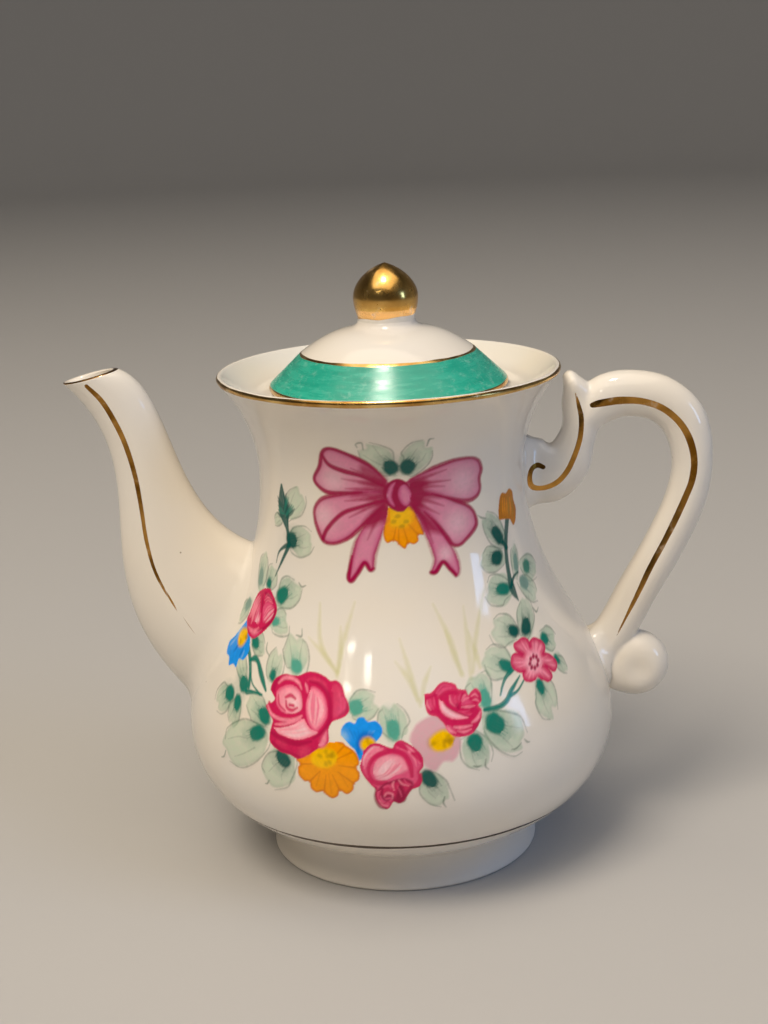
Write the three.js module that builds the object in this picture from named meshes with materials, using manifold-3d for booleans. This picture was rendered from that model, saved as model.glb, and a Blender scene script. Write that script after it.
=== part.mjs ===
// A small porcelain teapot: a pear-shaped pot on a foot ring with a flared mouth, a swan-neck spout, a scroll
// handle with a thumb rest and a dimpled ball end, and a domed lid with a gilded knob.
// Millimetres, +Z up, spout towards -X, handle towards +X, origin in the middle of the foot's base.
import * as THREE from "three";
import { mergeVertices } from "three/addons/utils/BufferGeometryUtils.js";
import Module from "manifold-3d";

const wasm = await Module();
wasm.setup();

// Pot: foot ring, belly, neck and flared lip
const FOOT_RADIUS = 22.9;
const FOOT_RING_WIDTH = 3.4;
const FOOT_RECESS = 2.2;
const FOOT_ROUND = 0.5;
const FOOT_HEIGHT = 6.1;
const FOOT_WAIST_RADIUS = 21.6;
const BELLY_RADIUS = 36.15;
const BELLY_HEIGHT = 23.3;
const NECK_RADIUS = 22;
const NECK_HEIGHT = 66.5;
const RIM_RADIUS = 28.2;
const RIM_HEIGHT = 82.4;
const LIP_ROUND = 0.6;
const POT_WALL = 2.2;
const POT_FLOOR = 2.6;

// Fullness of the pot's outside curves: how far each one keeps the direction that it starts or ends with
const UNDERSIDE_RUN = 7.6;
const UNDERSIDE_SLOPE = THREE.MathUtils.degToRad(18.5);
const BELLY_LOW_FULLNESS = 9;
const BELLY_HIGH_FULLNESS = 16;
const NECK_LOW_FULLNESS = 22.7;
const NECK_HIGH_FULLNESS = 7.4;
const FLARE_RUN = 2.5;

// Mouth: the ledge that the lid sits on and the throat that its flange drops into
const SEAT_DEPTH = 2.7;
const SEAT_RADIUS = 20.9;
const THROAT_RADIUS = 18;
const THROAT_LENGTH = 4;
const GALLERY_RUN = 2.4;

// Lid
const LID_RADIUS = 19.6;
const LID_EDGE_HEIGHT = 0.7;
const LID_BAND_RADIUS = 14.2;
const LID_BAND_HEIGHT = 5.1;
const LID_DOME_HEIGHT = 4.3;
const LID_DOME_RUN = 2.7;
const LID_DOME_START_RISE = 2.2;
const LID_DOME_END_RISE = 0.8;
const LID_WALL = 2;
const LID_FLANGE_LENGTH = 5;
const LID_FLANGE_WALL = 1.8;
const LID_FLANGE_CLEARANCE = 0.6;
const LID_BOSS_FILLET = 0.6;
const LID_BOSS_HEIGHT = 0.9;

// Knob: its base is as wide as the boss that carries it
const KNOB_BASE_RADIUS = 4.65;
const KNOB_BASE_ROUND = 0.3;
const KNOB_RADIUS = 5.3;
const KNOB_BELLY_HEIGHT = 3.1;
const KNOB_HEIGHT = 8.7;
const KNOB_SHOULDER = 2.2;
const KNOB_TIP = 1.2;

// Spout: its root spans a tall stretch of the belly, and its lip tips up towards the pot
const SPOUT_REACH = 53.2;
const SPOUT_LIP_HEIGHT = 82.1;
const SPOUT_LIP_LENGTH = 9.1;
const SPOUT_LIP_RISE = 2.1;
const SPOUT_LIP_DEPTH = 7.6;
const SPOUT_ROOT_LOW = 26.1;
const SPOUT_ROOT_HIGH = 53;
const SPOUT_ROOT_DEPTH = 19;
const SPOUT_ROOT_SINK = 2;
const SPOUT_WALL = 1.1;
const POUR_HOLE_RADIUS = 4;
const POUR_HOLE_HEIGHT = 41;

// Lean of the two edges of the spout above the horizontal, in degrees, where they leave the pot and where they
// reach the lip, and how far they keep it
const SPOUT_OUTER_LEAN = 45;
const SPOUT_OUTER_LOW_RUN = 32;
const SPOUT_OUTER_HIGH_RUN = 23.5;
const SPOUT_INNER_LOW_LEAN = 18.5;
const SPOUT_INNER_LOW_RUN = 17;
const SPOUT_INNER_HIGH_LEAN = 23;
const SPOUT_INNER_HIGH_RUN = 10.2;

// Handle: a loop, an upright thumb rest that ends in a scroll on the neck, and a ball on the belly
const HANDLE_REACH = 53.2;
const HANDLE_THICKNESS = 6.5;
const HANDLE_TOP_THICKNESS = 7.4;
const HANDLE_DEPTH = 6.6;
const THUMB_GAP = 0.5;
const THUMB_DROP = 1.6;
const THUMB_DEPTH = 5.4;
const UPRIGHT_THICKNESS = 5.6;
const SCROLL_THICKNESS = 10.6;
const SCROLL_HEIGHT = 64.5;
const BALL_RADIUS = 5.6;
const BALL_DEPTH = 9;
const BALL_REACH = 40.5;
const BALL_HEIGHT = 30;
const DIMPLE_RADIUS = 3;
const DIMPLE_DEPTH = 0.9;

// How far the handle's two roots are carried into the pot before they are trimmed to its outside, and the
// hairline between pieces that are joined with slip or rest on each other
const ROOT_SINK = 4;
const JOINT_GAP = 0.3;

// Facets
const POT_SEGMENTS = 48;
const LID_SEGMENTS = 48;
const KNOB_SEGMENTS = 28;
const CURVE_STEPS = 8;
const ROUND_STEPS = 2;

const porcelain = new THREE.MeshStandardMaterial({ color: 0xefe6d6, roughness: 0.12, metalness: 0 });
const enamelled = new THREE.MeshStandardMaterial({ color: 0xdfe6d8, roughness: 0.12, metalness: 0 });
const gilding = new THREE.MeshStandardMaterial({ color: 0xc9962f, roughness: 0.18, metalness: 1 });

const at = (x, z) => new THREE.Vector2(x, z);

// A solid of the geometry: only positions are kept, shared corners are merged, and triangles that close to a
// line on the axis are dropped.
function solid(geometry) {
  const bare = new THREE.BufferGeometry();
  bare.setAttribute("position", geometry.getAttribute("position"));
  bare.setIndex(geometry.index);
  const merged = mergeVertices(bare);
  const corners = [];
  const index = merged.index.array;
  for (let i = 0; i < index.length; i += 3) {
    const [a, b, c] = index.slice(i, i + 3);
    if (a !== b && b !== c && c !== a) {
      corners.push(a, b, c);
    }
  }
  const mesh = new wasm.Mesh({
    numProp: 3,
    vertProperties: new Float32Array(merged.getAttribute("position").array),
    triVerts: new Uint32Array(corners),
  });
  return new wasm.Manifold(mesh);
}

function piece(name, body, material) {
  const { vertProperties, triVerts } = body.getMesh();
  const geometry = new THREE.BufferGeometry();
  geometry.setAttribute("position", new THREE.BufferAttribute(vertProperties, 3));
  geometry.setIndex(new THREE.BufferAttribute(triVerts, 1));
  const faceted = geometry.toNonIndexed();
  faceted.computeVertexNormals();
  const mesh = new THREE.Mesh(faceted, material);
  mesh.name = name;
  return mesh;
}

function turned(points, segments) {
  return solid(new THREE.LatheGeometry(points, segments).rotateX(Math.PI / 2));
}

// The same outline moved sideways by a distance, to the right of its direction of travel
function offsetOutline(points, distance) {
  return points.map((point, i) => {
    const before = points[Math.max(i - 1, 0)];
    const after = points[Math.min(i + 1, points.length - 1)];
    const along = after.clone().sub(before).normalize();
    return at(point.x + along.y * distance, point.y - along.x * distance);
  });
}

// A closed skin of oval rings. Ring t runs from near(t) to far(t) in the plane of spout and handle, and is
// twice halfDepth(t) deep across that plane.
function ovalSkin({ near, far, halfDepth, steps, sides, start = 0, end = 1 }) {
  const positions = [];
  const index = [];
  for (let i = 0; i <= steps; i += 1) {
    const t = THREE.MathUtils.lerp(start, end, i / steps);
    const a = near(t);
    const b = far(t);
    for (let j = 0; j < sides; j += 1) {
      const angle = (2 * Math.PI * j) / sides;
      const share = (1 - Math.cos(angle)) / 2;
      const point = a.clone().lerp(b, share);
      positions.push(point.x, halfDepth(t) * Math.sin(angle), point.y);
    }
  }
  for (let i = 0; i < steps; i += 1) {
    for (let j = 0; j < sides; j += 1) {
      const a = i * sides + j;
      const b = i * sides + ((j + 1) % sides);
      index.push(a, b, b + sides, a, b + sides, a + sides);
    }
  }
  const last = steps * sides;
  for (let j = 1; j < sides - 1; j += 1) {
    index.push(0, j + 1, j, last, last + j, last + j + 1);
  }
  const geometry = new THREE.BufferGeometry();
  geometry.setAttribute("position", new THREE.Float32BufferAttribute(positions, 3));
  geometry.setIndex(index);
  return solid(geometry);
}

// The edges of a strap that is thickness(t) wide along a centreline
function strapEdges(centreline, thickness) {
  const edge = (side) => (t) => {
    const along = centreline.getTangent(t);
    const across = at(along.y, -along.x).multiplyScalar((side * thickness(t)) / 2);
    return centreline.getPoint(t).add(across);
  };
  return { near: edge(1), far: edge(-1) };
}

// A value that runs evenly through the given stations
const stations = (...values) => (t) => {
  const place = Math.min(t * (values.length - 1), values.length - 1 - 1e-9);
  const i = Math.floor(place);
  return THREE.MathUtils.lerp(values[i], values[i + 1], place - i);
};

// The pot's outside, from the waist of the foot up to the lip
const lipCentre = at(RIM_RADIUS - LIP_ROUND, RIM_HEIGHT);
const lipPoint = (degrees) => {
  const angle = THREE.MathUtils.degToRad(degrees);
  return at(Math.cos(angle), Math.sin(angle)).multiplyScalar(LIP_ROUND).add(lipCentre);
};
const flareEnd = lipPoint(-45);
const outside = new THREE.Path()
  .moveTo(FOOT_WAIST_RADIUS, FOOT_HEIGHT)
  .bezierCurveTo(
    FOOT_WAIST_RADIUS + UNDERSIDE_RUN * Math.cos(UNDERSIDE_SLOPE),
    FOOT_HEIGHT + UNDERSIDE_RUN * Math.sin(UNDERSIDE_SLOPE),
    BELLY_RADIUS, BELLY_HEIGHT - BELLY_LOW_FULLNESS,
    BELLY_RADIUS, BELLY_HEIGHT,
  )
  .bezierCurveTo(
    BELLY_RADIUS, BELLY_HEIGHT + BELLY_HIGH_FULLNESS,
    NECK_RADIUS, NECK_HEIGHT - NECK_LOW_FULLNESS,
    NECK_RADIUS, NECK_HEIGHT,
  )
  .bezierCurveTo(
    NECK_RADIUS, NECK_HEIGHT + NECK_HIGH_FULLNESS,
    flareEnd.x - FLARE_RUN, flareEnd.y - FLARE_RUN,
    flareEnd.x, flareEnd.y,
  )
  .getPoints(CURVE_STEPS);

function pot() {
  const ringInside = FOOT_RADIUS - FOOT_RING_WIDTH;
  const foot = new THREE.Path()
    .moveTo(0, FOOT_RECESS)
    .lineTo(ringInside - FOOT_RECESS / 2, FOOT_RECESS)
    .lineTo(ringInside, 0)
    .lineTo(FOOT_RADIUS - FOOT_ROUND, 0)
    .quadraticCurveTo(FOOT_RADIUS, 0, FOOT_RADIUS, FOOT_ROUND)
    .quadraticCurveTo(FOOT_WAIST_RADIUS, FOOT_HEIGHT / 3, FOOT_WAIST_RADIUS, FOOT_HEIGHT)
    .getPoints(ROUND_STEPS);
  const lip = [0, 45, 90, 135].map(lipPoint);
  const seatHeight = RIM_HEIGHT - SEAT_DEPTH;
  const galleryTop = lip.at(-1);
  const gallery = new THREE.CubicBezierCurve(
    galleryTop,
    at(galleryTop.x - GALLERY_RUN, galleryTop.y - GALLERY_RUN),
    at(SEAT_RADIUS + GALLERY_RUN, seatHeight),
    at(SEAT_RADIUS, seatHeight),
  ).getPoints(2 * ROUND_STEPS);
  const throatEnd = seatHeight - THROAT_LENGTH;
  const throat = [at(THROAT_RADIUS, seatHeight), at(THROAT_RADIUS, throatEnd)];
  const shoulder = throatEnd - (NECK_RADIUS - POT_WALL - THROAT_RADIUS);
  const wall = offsetOutline(outside, -POT_WALL).filter((point) => point.y < shoulder).reverse();
  const floorHeight = FOOT_RECESS + POT_FLOOR;
  const wallFoot = wall.at(-1);
  const floor = new THREE.QuadraticBezierCurve(
    wallFoot,
    at(wallFoot.x - POT_FLOOR / 2, floorHeight),
    at(wallFoot.x - 2 * POT_FLOOR, floorHeight),
  ).getPoints(ROUND_STEPS);
  const profile = [
    ...foot, ...outside.slice(1), ...lip, ...gallery.slice(1), ...throat, ...wall, ...floor.slice(1),
    at(0, floorHeight),
  ];
  const length = 2 * (BELLY_RADIUS - NECK_RADIUS + POT_WALL);
  const hole = new THREE.CylinderGeometry(POUR_HOLE_RADIUS, POUR_HOLE_RADIUS, length, POT_SEGMENTS / 3)
    .rotateZ(Math.PI / 2)
    .translate(-BELLY_RADIUS, 0, POUR_HOLE_HEIGHT);
  return turned(profile, POT_SEGMENTS).subtract(solid(hole));
}

// Everything inside the pot's outside, with the hairline around it, to trim the roots of spout and handle
function potEnvelope() {
  const skin = offsetOutline([...outside, lipPoint(0)], JOINT_GAP);
  return turned([at(0, skin[0].y), ...skin, at(0, skin.at(-1).y)], POT_SEGMENTS);
}

// A step up and towards the spout's side
function leaning(degrees, run) {
  const angle = THREE.MathUtils.degToRad(degrees);
  return at(-run * Math.cos(angle), run * Math.sin(angle));
}

function leaningCurve(start, startLean, startRun, end, endLean, endRun) {
  const leave = start.clone().add(leaning(startLean, startRun));
  const arrive = end.clone().sub(leaning(endLean, endRun));
  return new THREE.CubicBezierCurve(start, leave, arrive, end);
}

// The spout's edge towards the pot is short and its outer edge long, so the rings lag on the inner one
function spout() {
  const outer = leaningCurve(
    at(SPOUT_ROOT_SINK - BELLY_RADIUS, SPOUT_ROOT_LOW), SPOUT_OUTER_LEAN, SPOUT_OUTER_LOW_RUN,
    at(-SPOUT_REACH, SPOUT_LIP_HEIGHT), SPOUT_OUTER_LEAN, SPOUT_OUTER_HIGH_RUN,
  );
  const inner = leaningCurve(
    at(-NECK_RADIUS, SPOUT_ROOT_HIGH), SPOUT_INNER_LOW_LEAN, SPOUT_INNER_LOW_RUN,
    at(SPOUT_LIP_LENGTH - SPOUT_REACH, SPOUT_LIP_HEIGHT + SPOUT_LIP_RISE),
    SPOUT_INNER_HIGH_LEAN, SPOUT_INNER_HIGH_RUN,
  );
  const edges = (inset) => {
    const ends = (t) => [inner.getPoint(t * t), outer.getPoint(t)];
    const moved = (from, to) => from.add(to.clone().sub(from).setLength(inset));
    return {
      near: (t) => moved(...ends(t)),
      far: (t) => moved(...ends(t).reverse()),
      halfDepth: (t) => THREE.MathUtils.lerp(SPOUT_LIP_DEPTH, SPOUT_ROOT_DEPTH, (1 - t) ** 2) / 2 - inset,
    };
  };
  const skin = ovalSkin({ ...edges(0), steps: 18, sides: 20 });
  const bore = ovalSkin({ ...edges(SPOUT_WALL), steps: 16, sides: 16, end: 1.04 });
  return skin.subtract(bore).subtract(potEnvelope());
}

function handle() {
  const thumbSide = RIM_RADIUS + THUMB_GAP;
  const thumbTop = RIM_HEIGHT - THUMB_DROP;
  const root = BELLY_RADIUS - ROOT_SINK;
  const uprightAt = (share) => THREE.MathUtils.lerp(thumbTop, SCROLL_HEIGHT, share);
  const loopLine = new THREE.SplineCurve([
    at(thumbSide + 2.5, uprightAt(0.64)),
    at(thumbSide + 3.4, uprightAt(0.47)),
    at(thumbSide + 6.3, uprightAt(0.29)),
    at(HANDLE_REACH - 14.3, thumbTop - HANDLE_TOP_THICKNESS / 2),
    at(HANDLE_REACH - 8.8, thumbTop - 4.8),
    at(HANDLE_REACH - 4.7, thumbTop - 8.7),
    at(HANDLE_REACH - HANDLE_THICKNESS / 2, thumbTop - 15.2),
    at(HANDLE_REACH - 4.3, thumbTop - 22),
    at(HANDLE_REACH - 7.8, thumbTop - 29.8),
    at(BALL_REACH + 0.3, BALL_HEIGHT + 12.9),
    at(BALL_REACH - 2.9, BALL_HEIGHT + 6.9),
    at(root, BALL_HEIGHT - 1.5),
  ]);
  const loopThickness = stations(
    UPRIGHT_THICKNESS - 1, UPRIGHT_THICKNESS, HANDLE_TOP_THICKNESS, HANDLE_TOP_THICKNESS,
    HANDLE_TOP_THICKNESS, HANDLE_TOP_THICKNESS, HANDLE_THICKNESS, HANDLE_THICKNESS, HANDLE_THICKNESS,
    HANDLE_THICKNESS, HANDLE_THICKNESS, HANDLE_THICKNESS,
  );
  const loop = ovalSkin({
    ...strapEdges(loopLine, loopThickness),
    halfDepth: () => HANDLE_DEPTH / 2,
    steps: 30,
    sides: 14,
  });
  const uprightLine = new THREE.SplineCurve([
    at(thumbSide + 0.5, thumbTop),
    at(thumbSide + 1.3, uprightAt(0.08)),
    at(thumbSide + 2.5, uprightAt(0.26)),
    at(thumbSide + 2.7, uprightAt(0.52)),
    at(thumbSide + 1.9, uprightAt(0.71)),
    at(thumbSide + 0.4, uprightAt(0.9)),
    at(NECK_RADIUS + 4.3, SCROLL_HEIGHT),
    at(NECK_RADIUS + 0.2, SCROLL_HEIGHT),
    at(NECK_RADIUS - ROOT_SINK, SCROLL_HEIGHT),
  ]);
  const uprightThickness = stations(
    0.8, UPRIGHT_THICKNESS / 2, UPRIGHT_THICKNESS, UPRIGHT_THICKNESS, UPRIGHT_THICKNESS + 0.4,
    (UPRIGHT_THICKNESS + SCROLL_THICKNESS) / 2, SCROLL_THICKNESS, SCROLL_THICKNESS, SCROLL_THICKNESS,
  );
  const upright = ovalSkin({
    ...strapEdges(uprightLine, uprightThickness),
    halfDepth: stations(
      0.6, THUMB_DEPTH / 2, THUMB_DEPTH / 2, HANDLE_DEPTH / 2, HANDLE_DEPTH / 2,
      HANDLE_DEPTH / 2, HANDLE_DEPTH / 2, HANDLE_DEPTH / 2, HANDLE_DEPTH / 2,
    ),
    steps: 24,
    sides: 14,
  });
  const flatten = BALL_DEPTH / 2 / BALL_RADIUS;
  const ball = new THREE.SphereGeometry(BALL_RADIUS, 20, 12)
    .scale(1, flatten, 1)
    .translate(BALL_REACH, 0, BALL_HEIGHT);
  let body = loop.add(upright).add(solid(ball));
  for (const side of [-1, 1]) {
    const reach = BALL_DEPTH / 2 - DIMPLE_DEPTH + DIMPLE_RADIUS;
    const dimple = new THREE.SphereGeometry(DIMPLE_RADIUS, 12, 8)
      .translate(BALL_REACH, side * reach, BALL_HEIGHT);
    body = body.subtract(solid(dimple));
  }
  return body.subtract(potEnvelope());
}

const lidRest = RIM_HEIGHT - SEAT_DEPTH + JOINT_GAP;
const lidBandTop = lidRest + LID_EDGE_HEIGHT + LID_BAND_HEIGHT;
const lidDomeTop = lidBandTop + LID_DOME_HEIGHT;
const bossTop = lidDomeTop + LID_BOSS_HEIGHT;

function lid() {
  const bossEdge = KNOB_BASE_RADIUS + LID_BOSS_FILLET;
  const flangeOutside = THROAT_RADIUS - LID_FLANGE_CLEARANCE;
  const flangeInside = flangeOutside - LID_FLANGE_WALL;
  const flangeEnd = lidRest - LID_FLANGE_LENGTH;
  const dome = new THREE.CubicBezierCurve(
    at(LID_BAND_RADIUS, lidBandTop),
    at(LID_BAND_RADIUS - LID_DOME_RUN, lidBandTop + LID_DOME_START_RISE),
    at(bossEdge + LID_DOME_RUN, lidDomeTop - LID_DOME_END_RISE),
    at(bossEdge, lidDomeTop),
  ).getPoints(CURVE_STEPS - 2);
  const hollowTop = lidDomeTop - LID_WALL;
  const hollow = new THREE.CubicBezierCurve(
    at(0, hollowTop),
    at(bossEdge, hollowTop),
    at(LID_BAND_RADIUS - LID_WALL, lidBandTop - LID_WALL),
    at(flangeInside, lidRest),
  ).getPoints(CURVE_STEPS);
  const profile = [
    ...hollow,
    at(flangeInside, flangeEnd),
    at(flangeOutside, flangeEnd),
    at(flangeOutside, lidRest),
    at(LID_RADIUS, lidRest),
    at(LID_RADIUS, lidRest + LID_EDGE_HEIGHT),
    ...dome,
    at(KNOB_BASE_RADIUS, lidDomeTop + LID_BOSS_FILLET),
    at(KNOB_BASE_RADIUS, bossTop),
    at(0, bossTop),
  ];
  return turned(profile, LID_SEGMENTS);
}

function lidKnob() {
  const base = bossTop + JOINT_GAP;
  const profile = new THREE.Path()
    .moveTo(0, base)
    .lineTo(KNOB_BASE_RADIUS - KNOB_BASE_ROUND, base)
    .lineTo(KNOB_BASE_RADIUS, base + KNOB_BASE_ROUND)
    .quadraticCurveTo(KNOB_RADIUS, base + KNOB_BELLY_HEIGHT / 2, KNOB_RADIUS, base + KNOB_BELLY_HEIGHT)
    .bezierCurveTo(
      KNOB_RADIUS, base + KNOB_BELLY_HEIGHT + KNOB_SHOULDER,
      KNOB_RADIUS / 2, base + KNOB_HEIGHT - KNOB_TIP,
      0, base + KNOB_HEIGHT,
    )
    .getPoints(CURVE_STEPS - 2);
  return turned(profile, KNOB_SEGMENTS);
}

const teapot = new THREE.Group();
teapot.name = "teapot";
teapot.add(
  piece("pot_body", pot(), porcelain),
  piece("spout", spout(), porcelain),
  piece("handle", handle(), porcelain),
);
const cover = new THREE.Group();
cover.add(piece("lid", lid(), enamelled), piece("lid_knob", lidKnob(), gilding));
teapot.add(cover);

export default teapot;
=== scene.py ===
# %% [markdown]
# # A small porcelain teapot
#
# The imported model gives the plain solids: a pot, a spout, a handle, a lid and a knob, in metres, with the
# lid on a slide. This lesson dresses them: the same shapes made finer, with melted edges, a clear glaze,
# gold lines and a garland painted on the glaze. First the frame is loaded.

# %% Load the frame
import math
import bpy
import numpy as np
from mathutils import Matrix, Vector


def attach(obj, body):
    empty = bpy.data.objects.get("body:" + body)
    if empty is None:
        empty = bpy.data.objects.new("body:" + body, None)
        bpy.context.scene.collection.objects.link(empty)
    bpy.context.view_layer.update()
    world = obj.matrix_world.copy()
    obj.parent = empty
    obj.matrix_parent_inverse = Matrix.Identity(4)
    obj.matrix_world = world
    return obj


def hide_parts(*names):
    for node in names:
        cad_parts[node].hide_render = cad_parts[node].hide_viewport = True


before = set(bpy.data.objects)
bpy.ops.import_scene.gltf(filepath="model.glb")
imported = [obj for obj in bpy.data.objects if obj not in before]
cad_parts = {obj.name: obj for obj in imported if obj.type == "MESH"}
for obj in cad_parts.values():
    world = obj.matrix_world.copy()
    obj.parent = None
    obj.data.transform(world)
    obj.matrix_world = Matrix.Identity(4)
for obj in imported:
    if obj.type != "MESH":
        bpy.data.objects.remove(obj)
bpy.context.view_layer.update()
MM = 0.001

# %% [markdown]
# ## Camera
#
# The camera stands in front of the painted side, a little above the lid, and is tipped by about two
# degrees as a hand-held one is. Its axes are worked out from a place and an aim, which is easier to read
# than three angles. The focal length is known in pixels of a picture 1024 pixels high, and Blender wants
# it in millimetres on a sensor whose long side is 36 mm.

# %% Camera
CAMERA_PLACE = Vector((0, -272.6, 133.3)) * MM
CAMERA_AIM = Vector((-1.599, 0, 58.291)) * MM
CAMERA_ROLL = -0.0389
FOCAL_PIXELS = 1687
LONG_SIDE_PIXELS = 1024
SENSOR = 36

forward = (CAMERA_AIM - CAMERA_PLACE).normalized()
level = forward.cross(Vector((0, 0, 1))).normalized()
above = level.cross(forward)
camera_right = math.cos(CAMERA_ROLL) * level + math.sin(CAMERA_ROLL) * above
camera_up = math.cos(CAMERA_ROLL) * above - math.sin(CAMERA_ROLL) * level
camera_data = bpy.data.cameras.new("Camera")
camera_data.sensor_width = SENSOR
camera_data.lens = FOCAL_PIXELS / LONG_SIDE_PIXELS * SENSOR
camera = bpy.data.objects.new("Camera", camera_data)
axes = Matrix((camera_right, camera_up, -forward)).transposed().to_4x4()
camera.matrix_world = Matrix.Translation(CAMERA_PLACE) @ axes
bpy.context.collection.objects.link(camera)
bpy.context.scene.camera = camera
print("lens", round(camera_data.lens, 2), "mm")

# %% [markdown]
# ## Outlines
#
# Most of a teapot is turned on a wheel, so most of this model is an outline turned about the axis.
# Outlines are lists of (radius, height) in millimetres. Glaze melts in the kiln and rounds every edge
# that the clay had, so each outline is resampled finely and blurred along its length by a quarter of a
# millimetre. Then rows are picked so that they crowd together where the outline turns and spread out
# where it is nearly straight. That keeps the highlights smooth with few faces.


# %% Curves and melted outlines
def cubic(start, leave, arrive, end, steps=60):
    start, leave, arrive, end = (np.array(point, float) for point in (start, leave, arrive, end))
    t = np.linspace(0, 1, steps + 1)[:, None]
    s = 1 - t
    return s**3 * start + 3 * s * s * t * leave + 3 * s * t * t * arrive + t**3 * end


def quadratic(start, control, end, steps=20):
    start, control, end = (np.array(point, float) for point in (start, control, end))
    t = np.linspace(0, 1, steps + 1)[:, None]
    return (1 - t) ** 2 * start + 2 * t * (1 - t) * control + t * t * end


def lengths_along(points):
    steps = np.linalg.norm(np.diff(points, axis=0), axis=1)
    return np.concatenate([[0], np.cumsum(steps)])


def at_length(points, places):
    along = lengths_along(points)
    return np.stack([np.interp(places, along, points[:, axis]) for axis in range(points.shape[1])], -1)


FINE_STEP = 0.05
MELT = 0.22
FLAT_ROW = 1.2
TURN_PER_ROW = math.radians(8)
ROWS_AT_LINE = (-2.5, -1, 0, 1, 2.5)
FAR_OUTSIDE = -5.0


def melted(corners):
    """The outline with its edges rounded by the glaze, as closely spaced points."""
    corners = np.array(corners, float)
    total = lengths_along(corners)[-1]
    dense = at_length(corners, np.linspace(0, total, int(total / FINE_STEP)))
    reach = int(4 * MELT / FINE_STEP)
    bell = np.exp(-0.5 * (np.arange(-reach, reach + 1) * FINE_STEP / MELT) ** 2)
    padded = np.pad(dense, ((reach, reach), (0, 0)), mode="reflect", reflect_type="odd")
    blurred = [np.convolve(padded[:, axis], bell / bell.sum(), "valid") for axis in range(2)]
    return np.stack(blurred, -1)


def picked_rows(outline, lines=()):
    """Rows of a melted outline, and for each row how far inside a gold line it lies, in mm.
    lines are (point on the outline, half width)."""
    along = lengths_along(outline)
    heading = np.unwrap(np.arctan2(*np.gradient(outline, axis=0).T[::-1]))
    cost = along / FLAT_ROW + np.concatenate([[0], np.cumsum(np.abs(np.diff(heading)))]) / TURN_PER_ROW
    places = np.interp(np.linspace(0, cost[-1], int(cost[-1]) + 2), cost, along)
    centres = [along[np.argmin(np.linalg.norm(outline - point, axis=1))] for point, _ in lines]
    extra = [
        centre + share * half
        for centre, (_, half) in zip(centres, lines)
        for share in ROWS_AT_LINE
    ]
    places = np.unique(np.concatenate([places, extra]))
    gilt = np.full(len(places), FAR_OUTSIDE)
    for centre, (_, half) in zip(centres, lines):
        gilt = np.maximum(gilt, half - np.abs(places - centre))
    return at_length(outline, places), gilt


# %% [markdown]
# ## From rows to meshes
#
# A turned piece is a ring of points for each row, and a row on the axis is a single point. The helper
# also returns which row each point belongs to, so that a number worked out for a row can be handed to all
# its points. Numbers such as "how far inside a gold line" are stored on the mesh as named attributes,
# which a material can read.

# %% Mesh helpers
POLE_RADIUS = 0.02


def turned(rows, segments):
    """Points and faces of rows turned about the axis, and the row of each point."""
    angles = np.linspace(0, 2 * math.pi, segments, endpoint=False)
    points = []
    rings = []
    row_of = []
    for number, (radius, height) in enumerate(rows):
        pole = radius < POLE_RADIUS
        count = 1 if pole else segments
        first = len(points)
        for angle in angles[:count]:
            reach = 0 if pole else radius
            points.append((reach * math.cos(angle), reach * math.sin(angle), height))
        rings.append([first if pole else first + step for step in range(segments)])
        row_of += [number] * count
    faces = []
    for low, high in zip(rings, rings[1:]):
        for step in range(segments):
            after = (step + 1) % segments
            corners = [low[step], low[after], high[after], high[step]]
            faces.append(list(dict.fromkeys(corners)))
    return np.array(points), faces, np.array(row_of)


def add_piece(name, points, faces, material):
    mesh = bpy.data.meshes.new(name)
    mesh.from_pydata((np.asarray(points) * MM).tolist(), [], faces)
    mesh.polygons.foreach_set("use_smooth", np.ones(len(mesh.polygons), bool))
    mesh.materials.append(material)
    made = bpy.data.objects.new(name, mesh)
    bpy.context.collection.objects.link(made)
    print(name, len(mesh.vertices), "points", len(mesh.polygons), "faces")
    return made


def note(made, name, values):
    """Stores a number for each point of a piece under a name that a material can read."""
    attribute = made.data.attributes.new(name, "FLOAT", "POINT")
    attribute.data.foreach_set("value", np.asarray(values, np.float32))


def places_of(made):
    """The mesh's points in millimetres."""
    flat = np.empty(3 * len(made.data.vertices), np.float32)
    made.data.vertices.foreach_get("co", flat)
    return flat.reshape(-1, 3).astype(float) / MM


def settle(made):
    """Replaces a piece's mesh by the result of its modifiers."""
    shaped = bpy.data.meshes.new_from_object(made.evaluated_get(bpy.context.evaluated_depsgraph_get()))
    made.modifiers.clear()
    made.data = shaped
    shaped.polygons.foreach_set("use_smooth", np.ones(len(shaped.polygons), bool))
    print(made.name, "settled to", len(shaped.polygons), "faces")


def belongs(made, body, slot, *nodes):
    """Hangs a piece on the body it rides and hides the solids it stands in for. The slot argument is not
    used.
    """
    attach(made, body)
    if nodes:
        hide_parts(*nodes)


# %% [markdown]
# ## Glaze
#
# Old porcelain isn't one even white. The glaze drifts a little between cream and a cooler white, its
# gloss varies, its surface waves very slightly, and a few specks of iron show as pin points. A single
# colour would look like plastic. All four come from noise in the piece's own coordinates, in one node
# group, because every glazed material needs them. The group gives a colour, a roughness and a height for
# a bump.


# %% Node helpers
def socket(tree, name, kind, side, value=None):
    made = tree.interface.new_socket(name, in_out=side, socket_type=kind)
    if value is not None:
        made.default_value = value


def node(tree, kind, **settings):
    made = tree.nodes.new(kind)
    for key, value in settings.items():
        setattr(made, key, value)
    return made


def own_place(tree):
    """A point's place in the piece's own coordinates, in metres."""
    return node(tree, "ShaderNodeTexCoord").outputs["Object"]


def parts_of(tree, vector):
    made = node(tree, "ShaderNodeSeparateXYZ")
    tree.links.new(vector, made.inputs[0])
    return made.outputs


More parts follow.
